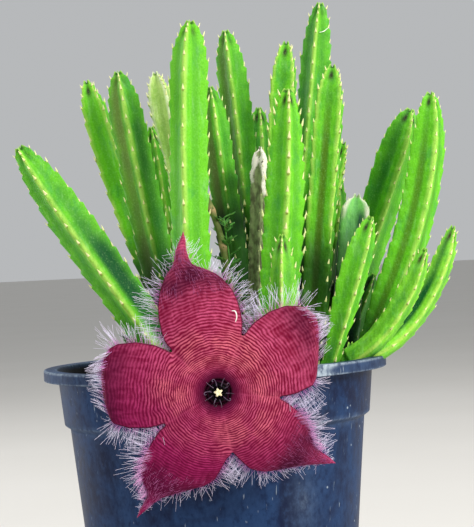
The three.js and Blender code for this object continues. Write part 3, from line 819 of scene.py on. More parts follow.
def scatter_tree() -> bpy.types.NodeTree:
    """A tree that sets a small shape on each marked point and joins them to what is there.

    The points' own numbers say how: size, aim (the shape's +Z) and lean (its +X).

    Returns:
        The tree, with the inputs Shape and Finish.
    """
    growth = Growth(
        "shapes on marked points", Shape=("NodeSocketObject", None), Finish=("NodeSocketMaterial", None),
    )
    size = growth.number("size")
    chosen = growth.node("FunctionNodeCompare", {0: size, 1: 0.001}, operation="GREATER_THAN")
    turn = growth.node("FunctionNodeAxesToRotation", {
        "Primary Axis": growth.number("aim", "FLOAT_VECTOR"),
        "Secondary Axis": growth.number("lean", "FLOAT_VECTOR"),
    }, primary_axis="Z", secondary_axis="X")
    shape = growth.node("GeometryNodeObjectInfo", {"Object": growth.given["Shape"]})
    placed = growth.node("GeometryNodeInstanceOnPoints", {
        "Points": growth.given["Geometry"], "Selection": chosen, "Instance": shape.outputs["Geometry"],
        "Rotation": turn, "Scale": size,
    })
    return growth.close(placed, growth.given["Geometry"])


def hair_tree() -> bpy.types.NodeTree:
    """A tree that grows a thin wavy tapering hair from each point.

    The points' own numbers say how: size is the hair's length, and aim its direction.

    Returns:
        The tree, with the inputs Radius, Wave, Steps and Finish.
    """
    growth = Growth(
        "hairs from points", Radius=("NodeSocketFloat", 0.0001), Wave=("NodeSocketFloat", 0.002),
        Steps=("NodeSocketInt", 5), Finish=("NodeSocketMaterial", None),
    )
    given, node = growth.given, growth.node
    line = node("GeometryNodeCurvePrimitiveLine", {"Start": (0, 0, 0), "End": (0, 0, 1)})
    line = node("GeometryNodeResampleCurve", {"Curve": line, "Count": given["Steps"]})
    turn = node("FunctionNodeAlignRotationToVector", {
        "Vector": growth.number("aim", "FLOAT_VECTOR"),
    }, axis="Z")
    placed = node("GeometryNodeInstanceOnPoints", {
        "Points": given["Geometry"], "Instance": line, "Rotation": turn, "Scale": growth.number("size"),
    })
    real = node("GeometryNodeRealizeInstances", {0: placed})
    along = node("GeometryNodeSplineParameter").outputs["Factor"]
    swirl = node("ShaderNodeTexNoise", {"Scale": 70.0, "Detail": 0.0}).outputs["Color"]
    centred = node("ShaderNodeVectorMath", {0: swirl, 1: (0.5, 0.5, 0.5)}, operation="SUBTRACT")
    bend = node("ShaderNodeMath", {0: along, 1: 1.6}, operation="POWER")
    bend = node("ShaderNodeMath", {0: bend, 1: given["Wave"]}, operation="MULTIPLY")
    shift = node("ShaderNodeVectorMath", {0: centred, "Scale": bend}, operation="SCALE")
    waved = node("GeometryNodeSetPosition", {"Geometry": real, "Offset": shift})
    thin = node("ShaderNodeMapRange", {"Value": along, "To Min": 1.0, "To Max": 0.25})
    tapered = node("GeometryNodeSetCurveRadius", {"Curve": waved, "Radius": thin})
    ring = node("GeometryNodeCurvePrimitiveCircle", {"Resolution": 3, "Radius": given["Radius"]})
    marked = node("GeometryNodeStoreNamedAttribute", {
        "Geometry": tapered, "Name": "hair_up", "Value": along,
    }, data_type="FLOAT", domain="POINT")
    return growth.close(node("GeometryNodeCurveToMesh", {
        "Curve": marked, "Profile Curve": ring, "Fill Caps": True,
    }))


# Stems


class Palette(Enum):
    """Which skin a stem wears: its finish, and the record's slot for it."""

    GREEN = (STEM_SKIN, "stem_green")
    YOUNG = (YOUNG_SKIN, "stem_young")
    PALE = (PALE_SKIN, "stem_pale")
    CORKY = (CORKY_SKIN, "stem_green")

    @property
    def finish(self) -> StemFinish:
        """The skin's finish."""
        return self.value[0]

    @property
    def slot(self) -> str:
        """The record's slot for it."""
        return self.value[1]


ROOT_Z = 157.0
ROOT_STRAIGHT = 14.0
TAPER_DEPTH = 0.9


@dataclass(frozen=True)
class StemPlan:
    """One stem: its line, its size and how it is coloured.

    root, bend (half way) and tip are on its centre line. rib is the radius at a rib, and turn
    rotates the ribs in degrees. foot is the share of that radius at the root, neck the distance
    from the root to full width, and taper the length that narrows to the tip. From 0 to 1, brown
    says how brown its left faces are, dark how much painted shade darkens them, dusk how much
    painted shade darkens its right ones, band how dark an olive line runs down its front groove,
    glow how much painted light brightens its green, rib_fade how much its rib lines fade below
    the tip, and spot how dark the grooves are at the tip.
    """

    name: str
    root: Point
    bend: Point
    tip: Point
    rib: float
    turn: float
    foot: float = 0.6
    neck: float = 45.0
    taper: float = 30.0
    brown: float = 0.0
    dark: float = 0.0
    dusk: float = 0.0
    band: float = 0.0
    glow: float = 0.5
    rib_fade: float = 0.0
    spot: float = 0.9
    neck_start: float = ROOT_STRAIGHT
    gap: float = 10.5
    tooth: float = 1.0
    palette: Palette = Palette.GREEN


STEM_PLANS = (
    StemPlan("stem_far_left", (-4, -26, ROOT_Z), (-57.5, -38, 239), (-102, -50, 310), 12.3, -9, taper=60,
             dusk=1.25, glow=0.42, spot=0.25),
    StemPlan("stem_left_bright", (-2, 34, ROOT_Z), (-41, 25, 256), (-68, 16, 352), 9.8, 40, glow=1.4),
    StemPlan("stem_left_olive", (-15, -6, ROOT_Z), (-33, -8, 258), (-48, -8, 354), 10.2, 3, brown=0.62,
             dusk=0.7, glow=0.5, spot=0.2),
    StemPlan("stem_left_back", (-16, 52, ROOT_Z), (-23, 47, 246), (-32, 43, 325), 7, 10, brown=0.3),
    StemPlan("stem_left_hidden", (-6, 68, ROOT_Z), (-19, 68, 248), (-26, 68, 323), 7, 30, dark=0.3,
             glow=0.4),
    StemPlan("stem_pale_club", (-6, 10, ROOT_Z), (-15, 11, 262), (-27, 13, 355), 8.6, 35, foot=0.5,
             neck=185, neck_start=135, taper=20, spot=0.1, gap=6.5, tooth=0.9, palette=Palette.PALE),
    StemPlan("stem_tall_left", (-9, -46, ROOT_Z), (-10, -44, 270), (-5, -40, 377), 11.2, -13, glow=1.0,
             spot=0.5),
    StemPlan("stem_mid_dark", (24, 4, ROOT_Z), (13, 4, 258), (5, 4, 344), 8.4, 8, brown=0.8, dark=0.3,
             glow=0.35, spot=0.5),
    StemPlan("stem_mid_tall", (24, 30, ROOT_Z), (24, 30, 272), (16, 30, 380), 9.2, -6, brown=0.55,
             dark=0.3, glow=0.5, spot=0.4),
    StemPlan("stem_centre", (29, -42, ROOT_Z), (41, -42, 250), (48, -42, 336), 11.4, 8, taper=75,
             gap=10.2, tooth=1.3, glow=0.85),
    StemPlan("stem_behind_centre", (38, 8, ROOT_Z), (42, 9, 265), (51, 10, 369), 9.7, 38, band=0.25,
             glow=0.65),
    StemPlan("stem_tallest", (38, 52, ROOT_Z), (58, 50, 272), (75, 50, 397), 9.4, -12, taper=40,
             dark=0.35, glow=0.35, spot=0.3),
    StemPlan("stem_right_centre", (53, -2, ROOT_Z), (65, -1, 255), (77, 0, 353), 10.6, 38, band=0.8,
             glow=0.65),
    StemPlan("stem_corky", (74, 20, ROOT_Z), (81, 16, 220), (89, 15, 277), 11.3, 45, taper=9,
             dusk=1.7, glow=1.2, rib_fade=0.85, spot=0.0, tooth=0.35, palette=Palette.CORKY),
    StemPlan("stem_right_front", (57, -46, ROOT_Z), (73, -49, 212), (90, -50, 262), 8.8, 24, neck=75,
             gap=9.5, glow=0.8, tooth=0.85),
    StemPlan("stem_right_dark", (58, 42, ROOT_Z), (95, 48, 244), (127, 48, 329), 12.5, 17, neck=60,
             dark=0.65, glow=0.7, tooth=0.8),
    StemPlan("stem_right_arched", (66, -10, ROOT_Z), (115.8, 5, 243), (136.6, 20, 336), 11.6, 20,
             foot=0.45, neck=80, taper=45, band=0.6, glow=0.95, tooth=0.8),
    StemPlan("stem_back_dark", (28, 68, ROOT_Z), (33, 70, 250), (35, 70, 336), 8.6, 12, dark=0.4),
    StemPlan("stem_back_narrow", (54, 22, ROOT_Z), (64, 33, 236), (84, 35, 310), 7.6, 40, dark=0.3),
    StemPlan("stem_back_right", (49, 59, ROOT_Z), (73, 64, 236), (82, 65, 290), 7.8, 15, neck=80,
             dark=0.5),
)

PAIR_TRUNK = StemPlan("pair_trunk", (73, -26, ROOT_Z), (77, -26, 180), (78, -26, 191), 7.6, 30,
                      neck=30, taper=8, spot=0.0, tooth=0.4, palette=Palette.YOUNG)
PAIR_BRANCHES = (
    StemPlan("pair_left", (77, -27, 184), (102, -33, 206), (121, -38, 243), 7.0, 20, foot=0.95,
             glow=0.6, gap=8.5, tooth=0.85, palette=Palette.YOUNG),
    StemPlan("pair_right", (78, -24, 184), (115, -20, 205), (141, -14, 255), 7.2, 22, foot=0.98,
             neck=60, dark=1.4, glow=0.8, gap=9, tooth=0.85, palette=Palette.YOUNG),
)
FLOWERING_STEM = StemPlan("stem_flowering", (35, -66, ROOT_Z), (38, -68, 205), (40, -70, 254), 7.8, -6,
                          taper=35, gap=8.5, palette=Palette.YOUNG)
OLD_STUMP = StemPlan("old_stump", (65, 30, ROOT_Z), (79, 31, 188), (98, 32, 229), 6.8, 12, dark=1.0,
                     glow=0.0, tooth=0.7)
DRIED_STEM = StemPlan("stem_dried", (23, -20, ROOT_Z), (26, -15, 236), (32, -11, 306), 4.5, 20, taper=7)


@dataclass(frozen=True)
class Gloom:
    """The deep shade among the stems' feet: each pair is where it starts and where it is full."""

    behind: tuple[float, float] = (-34, -6)
    below: tuple[float, float] = (272, 236)
    within: tuple[float, float] = (92, 56)
    middle: float = 20.0
    pocket_at: float = 13.0
    pocket_width: float = 15.0
    pocket_height: float = 36.0

    def share(self, places: np.ndarray) -> np.ndarray:
        """How deep the shade is at each place, from 0 to a little over 1.

        Args:
            places: The places.

        Returns:
            The depth of each place.
        """
        across, back, up = places[..., 0], places[..., 1], places[..., 2]
        pocket = self.pocket_height * np.exp(-((across - self.pocket_at) / self.pocket_width) ** 2)
        shade = smoothstep(*self.behind, back) * smoothstep(*self.below, up - pocket)
        return shade * smoothstep(*self.within, np.abs(across - self.middle)) * (
            0.85 + 0.3 * lumps(places, 14, 32))


class StemLine:
    """The centre line of a stem at even steps, with the directions across it."""

    def __init__(self, plan: StemPlan, step: float) -> None:
        """Works out the line.

        Args:
            plan: The stem.
            step: Distance between stations in millimetres.
        """
        root, bend, tip = (np.array(place, float) for place in (plan.root, plan.bend, plan.tip))
        control = 2 * bend - 0.5 * (root + tip)
        share = np.linspace(0, 1, 600)[:, None]
        line = (1 - share) ** 2 * root + 2 * share * (1 - share) * control + share ** 2 * tip
        travelled = np.concatenate([[0], np.cumsum(np.linalg.norm(np.diff(line, axis=0), axis=1))])
        self.length = float(travelled[-1])
        stations = max(8, round(self.length / step))
        self.at = np.linspace(0, self.length, stations + 1)
        self.centre = np.stack([np.interp(self.at, travelled, line[:, k]) for k in range(3)], axis=1)
        self.tangent = unit(np.gradient(self.centre, axis=0))
        front = np.array([0.0, -1.0, 0.0])
        self.front = unit(front - self.tangent * (self.tangent @ front)[:, None])
        self.side = np.cross(self.tangent, self.front)

    def share_of_width(self, plan: StemPlan) -> np.ndarray:
        """The share of its full width that the stem has at each station.

        Args:
            plan: The stem.

        Returns:
            The share at each station.
        """
        start = max(plan.neck_start, plan.neck / 3)
        grown = plan.foot + (1 - plan.foot) * smoothstep(start, plan.neck, self.at)
        near = np.clip(1 - (self.length - self.at) / plan.taper, 0, None)
        return grown * np.sqrt(1 - TAPER_DEPTH * near ** 2)


@dataclass
class StemBuilder:
    """Builds four-ribbed stems: a grid swept along the line, and marked points for the teeth."""

    step: float = 1.3
    columns: int = 12
    groove: float = 0.64
    tip_groove: float = 0.4
    root_groove: float = 0.84
    rib_round: float = 0.09
    rib_power: float = 2.15
    toothless: float = 22.0
    tooth_swell: float = 1.3
    crown: float = 0.9
    roughness: float = 0.2
    twist: float = 0.07
    rib_width: float = 0.26
    gloom: Gloom = Gloom()

    def angles(self) -> tuple[np.ndarray, np.ndarray]:
        """The columns' angles from a rib and how near a rib each lies.

        Returns:
            The angles in radians, and the weight that is 1 on a rib and 0 in a groove.
        """
        share = np.arange(4 * self.columns) / self.columns
        within = share % 1
        eased = within - 0.5 * np.sin(2 * np.pi * within) / (2 * np.pi)
        near = np.minimum(eased, 1 - eased) * 2
        rounded = np.sqrt(near ** 2 + self.rib_round ** 2) - self.rib_round
        limit = math.sqrt(1 + self.rib_round ** 2) - self.rib_round
        return (np.floor(share) + eased) * np.pi / 2, (1 - rounded / limit) ** self.rib_power

    def tooth_places(self, plan: StemPlan, line: StemLine, rib: int,
                     random: np.random.Generator) -> list[float]:
        """Distances from the root at which one rib bears its teeth.

        Args:
            plan: The stem.
            line: Its centre line.
            rib: Which rib.
            random: Source of the small differences between gaps.

        Returns:
            The distances, from the root upwards.
        """
        places = []
        from_tip = 1.0
        while line.length - from_tip > self.toothless:
            places.append(line.length - from_tip)
            gap = plan.gap * (0.36 + 0.64 * float(smoothstep(0, 20, from_tip)))
            gap *= 1.5 if len(places) == 1 and rib % 2 else 1.0
            from_tip += gap * (1 + 0.16 * float(smoothstep(60, 160, from_tip))) * random.uniform(0.9, 1.1)
        return places[::-1]

    def saw(self, line: StemLine, places: list[float]) -> np.ndarray:
        """How far a rib stands out at each station: it rises to each tooth and drops back above it.

        Args:
            line: The stem's centre line.
            places: Where the rib's teeth are.

        Returns:
            The height from -0.45 to 0.55 at each station.
        """
        height = np.zeros(len(line.at))
        for low, high in zip([places[0] - 9.0, *places[:-1]], places):
            inside = (line.at > low) & (line.at <= high + 0.2)
            height[inside] = ((line.at[inside] - low) / (high - low)) ** 1.4 - 0.45
        return height

    def add(self, skin: Skin, plan: StemPlan, seed: int) -> None:
        """Adds one stem and the marks for its teeth to a skin.

        Args:
            skin: What it is added to.
            plan: The stem.
            seed: Seed of its small differences.
        """
        random = np.random.default_rng(seed)
        line = StemLine(plan, self.step)
        angles, ridge = self.angles()
        from_tip = line.length - line.at
        width = plan.rib * line.share_of_width(plan)
        groove = self.root_groove + (self.groove - self.root_groove) * smoothstep(24, 48, line.at)
        groove = (groove + (self.tip_groove - groove) * smoothstep(11, 0, from_tip))[:, None]
        reach = width[:, None] * (groove + (1 - groove) * ridge)
        wander = np.stack([line.at, 0 * line.at, 0 * line.at + seed], axis=1)
        turned = math.radians(plan.turn) + angles + self.twist * lumps(wander, 70, 5)[:, None]
        marks, marks_up = np.zeros((2, len(line.at), len(angles)))
        for rib in range(4):
            weight = np.exp(-(np.angle(np.exp(1j * (angles - rib * np.pi / 2))) / self.rib_width) ** 2)
            teeth = self.tooth_places(plan, line, rib, random)
            reach += self.tooth_swell * plan.tooth * self.saw(line, teeth)[:, None] * weight
            for tooth in teeth:
                spot = int(np.argmin(np.abs(line.at - tooth))), rib * self.columns
                marks_up[spot] = smoothstep(0, 14, line.length - tooth)
                marks[spot] = plan.tooth * random.uniform(0.68, 1.05) * (0.8 + 0.2 * marks_up[spot])
        facing, aside = np.cos(turned), np.sin(turned)
        out = line.front[:, None] * facing[..., None] + line.side[:, None] * aside[..., None]
        places = line.centre[:, None] + out * reach[..., None]
        rough = lumps(places + 100 * seed, 7, 21) + 0.5 * lumps(places + 100 * seed, 2.6, 22)
        places = places + out * (self.roughness * rough * smoothstep(0, 2, width[:, None] - 3))[..., None]
        aims = unit(line.tangent[:, None] + (0.26 - 0.16 * marks_up[..., None]) * out)
        index = skin.add_grid(
            places, closed=True, size=marks, aim=aims, lean=out,
            **self.colours(plan, line, places, facing, aside, ridge),
        )
        self.close_ends(skin, line, index, out[-1], reach[-1], ridge)

    def colours(self, plan: StemPlan, line: StemLine, places: np.ndarray, facing: np.ndarray,
                aside: np.ndarray, ridge: np.ndarray) -> dict[str, np.ndarray]:
        """Works out the numbers that the stem's finish turns into colours.

        Args:
            plan: The stem.
            line: Its centre line.
            places: The points of its grid.
            facing: How far each point faces the front, from -1 to 1.
            aside: How far it faces the right.
            ridge: How near a rib each column is.

        Returns:
            Each number by its name.
        """
        from_tip = (line.length - line.at)[:, None]
        seen = smoothstep(-0.35, 0.1, facing) * (1 - ridge ** 1.5)
        left_side = smoothstep(0.1, 0.5, -aside) * seen
        right_side = smoothstep(0.0, 0.34, aside) * seen * smoothstep(0.5, 1.3, from_tip / plan.taper)
        shade = 0.75 + 0.35 * lumps(places, 18, 31)
        front_groove = smoothstep(0.2, 0.8, facing) * np.clip(1 - ridge / 0.22, 0, 1) ** 0.6
        # risen is low at the foot, where painted shade darkens the stem and weakens its painted light.
        risen = smoothstep(0, 60, line.at + (60 if plan.root[2] > ROOT_Z else 0))[:, None]
        gloom = self.gloom.share(places)
        hollow = np.exp(-((from_tip - 4.0) / 2.8) ** 2) * np.clip(1 - ridge / 0.42, 0, 1)
        edges = ridge * (1 - plan.rib_fade * smoothstep(8, 24, from_tip)) * (1 - 0.6 * gloom)
        if not plan.rib_fade:
            edges = edges * (0.6 + 0.4 * smoothstep(0.3, 0.75, facing))
        # dark is painted shade on the left and right faces and at the foot, gloom painted shade among the
        # feet, and glow painted light.
        shares = {
            "brown": plan.brown * left_side * shade * risen,
            "dark": (plan.dark * left_side + plan.dusk * right_side) * shade + 0.4 * (1 - risen),
            "gloom": gloom, "band": plan.band * front_groove * smoothstep(6, 50, from_tip) * risen,
            "tipward": 1.2 * plan.spot * hollow,
        }
        numbers = {name: np.clip(share, 0, 1) for name, share in shares.items()}
        return numbers | {"ridge": edges, "glow": plan.glow * (0.55 + 0.45 * risen)}

    def close_ends(self, skin: Skin, line: StemLine, index: np.ndarray, out: np.ndarray,
                   reach: np.ndarray, ridge: np.ndarray) -> None:
        """Closes the root with a flat cap, and the tip with a low crown of rib ends.

        Args:
            skin: What the stem is in.
            line: Its centre line.
            index: The indices of its grid.
            out: The directions outwards at the tip.
            reach: The radii at the tip.
            ridge: How near a rib each column is.
        """
        last = index[-1]
        for share, rib_rise, groove_rise in ((0.82, 1.4, 0.3), (0.55, 2.9, 0.4), (0.28, 2.2, 0.6)):
            rise = groove_rise + (rib_rise - groove_rise) * ridge
            places = line.centre[-1] + line.tangent[-1] * rise[:, None] + out * (reach * share)[:, None]
            ring = skin.add_points(places, tipward=0.6 - 0.5 * ridge, ridge=ridge) + np.arange(len(reach))
            skin.add_faces(np.stack([last, np.roll(last, -1), np.roll(ring, -1), ring], axis=1).tolist())
            last = ring
        skin.fan(last, line.centre[-1] + line.tangent[-1] * self.crown, True, tipward=0.3, ridge=0.6)
        skin.fan(index[0], line.centre[0], False)


def tooth_shape() -> bpy.types.Object:
    """A small pointed tooth with its root at the origin and its point along +Z, a little bent.

    Returns:
        The shape, which the stems' trees copy.
    """
    skin = Skin()
    rings = (
        (-1.2, 0.44, 0.66, 0.0), (0.0, 0.6, 0.92, 0.12), (1.3, 0.44, 0.62, 0.4), (2.4, 0.24, 0.3, 0.75),
    )
    height, deep, wide, up = np.array(rings).T[..., None]
    turn = round_turn(6)
    grid = np.stack([
        deep * np.cos(turn) - (0.4 - 0.12 * height), wide * np.sin(turn), height + 0 * turn,
    ], axis=-1)
    index = skin.add_grid(grid, closed=True, tooth_up=up)
    skin.fan(index[-1], (0.0, 0, 3.4), True, tooth_up=1.0)
    skin.fan(index[0], (-0.5, 0, -1.2), False, tooth_up=0.0)
    return skin.make("tooth")


@dataclass
class Kit:
    """What several sub-assemblies share."""

    stem_skins: dict[Palette, bpy.types.Material]
    tooth: bpy.types.Object
    tooth_finish: bpy.types.Material
    fringe_finish: bpy.types.Material
    down_finish: bpy.types.Material
    tuft_finish: bpy.types.Material
    scatter: bpy.types.NodeTree
    hair: bpy.types.NodeTree

    def plant_teeth(self, piece: bpy.types.Object) -> None:
        """Sets a tooth on each marked point of a stem."""
        grow(piece, self.scatter, Shape=self.tooth, Finish=self.tooth_finish)

    def dress_stem(self, skin: Skin, name: str, palette: Palette, *nodes: str) -> None:
        """Makes the piece of one stem or bunch of stems, with its teeth.

        Args:
            skin: Its points and faces.
            name: Its name, without the ending that every such piece has.
            palette: Which skin it wears.
            *nodes: The CAD nodes that it stands for.
        """
        piece = skin.make(name + "_skin", self.stem_skins[palette])
        self.plant_teeth(piece)
        settle(piece, palette.slot, *nodes)


@dataclass
class Stems:
    """All the standing stems, each a piece of its own."""

    builder: StemBuilder = field(default_factory=StemBuilder)
    plans: tuple[StemPlan, ...] = STEM_PLANS

    def build(self, kit: Kit) -> None:
        """Builds every stem, the pair at the rim, and the old stump behind the arched stem.

        Args:
            kit: What the sub-assemblies share.
        """
        corky = replace(self.builder, rib_round=0.16, roughness=0.45)
        for number, plan in enumerate(self.plans):
            skin = Skin()
            builder = corky if plan.palette is Palette.CORKY else self.builder
            builder.add(skin, plan, seed=number + 1)
            kit.dress_stem(skin, plan.name, plan.palette, plan.name)
        pair = Skin()
        fleshy = replace(self.builder, groove=0.7, root_groove=0.95)
        for number, plan in enumerate((PAIR_TRUNK, *PAIR_BRANCHES)):
            fleshy.add(pair, plan, seed=40 + number)
        kit.dress_stem(pair, "stem_right_pair", Palette.YOUNG, "stem_right_pair")
        stump = Skin()
        self.builder.add(stump, OLD_STUMP, seed=60)
        kit.dress_stem(stump, OLD_STUMP.name, Palette.GREEN)


# Flower


def even_margins(length: float) -> tuple[tuple[float, float, float], ...]:
    """Margins of a lobe that is alike on both sides.

    Args:
        length: Distance of its tip from the centre.

    Returns:
        Distance along its axis, and how far its left and right margins lie from the axis.
    """
    outline = (
        (25.6, 18.6), (34, 21.4), (43, 22.2), (52, 20.4), (59, 15.5), (64, 9), (69, 4.8), (80, 0.8),
    )
    start, end = outline[0][0], outline[-1][0]
    stretch = (length - start) / (end - start)
    return tuple((start + (at - start) * stretch, wide, -wide) for at, wide in outline)


@dataclass(frozen=True)
class Lobe:
    """One lobe of the corolla.

    angle is where it points in degrees. margins gives, at distances along its axis, how far its
    left and right margins lie from the axis. It bends back by fold degrees past fold_at, on a line
    turned by fold_turn degrees, and sinks softly by curl past curl_at, on a line turned by
    curl_turn. dusk is where along its axis its flesh is darkest.
    """

    angle: float
    margins: tuple[tuple[float, float, float], ...]
    dusk: float
    fold_at: float = 200.0
    fold: float = 0.0
    fold_turn: float = 0.0
    curl_at: float = 200.0
    curl: float = 0.0
    curl_turn: float = 0.0

    @property
    def length(self) -> float:
        """Distance of its tip from the centre."""
        return self.margins[-1][0]

    @property
    def folded(self) -> bool:
        """Whether its end is folded back."""
        return self.fold > 0

    def around(self, x: np.ndarray, y: np.ndarray) -> tuple[np.ndarray, np.ndarray]:
        """Distances along and across it as distances right and up from the flower's centre."""
        angle = math.radians(self.angle)
        return x * math.cos(angle) - y * math.sin(angle), x * math.sin(angle) + y * math.cos(angle)

    def lumps(self, x: np.ndarray, y: np.ndarray, size: float, seed: int) -> np.ndarray:
        """Smooth noise that differs from lobe to lobe."""
        return lumps(np.stack([x, y, 0 * x + self.angle], axis=-1), size, seed)


LOBES = (
    Lobe(100.3, (
        (25.6, 18.6, -18.6), (32, 21.1, -20.2), (37, 21.6, -20.7), (44, 21.4, -20.4), (50, 20.4, -19.0),
        (57, 17.9, -15.2), (60, 16.2, -12.6), (64, 13.7, -7.4), (66, 11.6, -3.6), (68.3, 8.8, -1.2),
        (72, 6.8, -0.6), (76, 5.2, -0.4), (80.5, 2.2, -1.3), (85.3, -1.0, -1.3),
    ), 62, curl_at=50, curl=3.5),
    Lobe(172.3, even_margins(84), 57, fold_at=54.2, fold=118, fold_turn=8),
    Lobe(244.3, (
        (25.6, 18.6, -18.6), (30, 17.4, -20.2), (35, 16.9, -21.3), (42, 16.2, -22.1), (45, 14.5, -22.2),
        (48, 12.0, -22.1), (53, 5.4, -21.0), (57, 0.4, -18.6), (61.4, -5.2, -13.6), (64.4, -7.3, -12.8),
        (67.3, -9.1, -12.9), (72.5, -11.2, -13.7), (76.6, -13.2, -13.5),
    ), 57, curl_at=36, curl=5.5, curl_turn=41),
    Lobe(316.3, (
        (25.6, 18.6, -18.6), (31, 19.4, -19.0), (38, 19.8, -19.1), (41, 19.6, -18.0), (45, 18.6, -15.6),
        (48, 17.0, -12.5), (51, 14.5, -8.8), (54.5, 12.2, -4.5), (58, 11.4, -0.5), (61, 11.4, 2.8),
        (63.5, 11.8, 5.3), (67.3, 12.2, 8.8), (70.4, 12.2, 12.0),
    ), 54, curl_at=40, curl=4.5, curl_turn=-24),
    Lobe(28.3, even_margins(82), 57, fold_at=54, fold=112, fold_turn=-26),
)


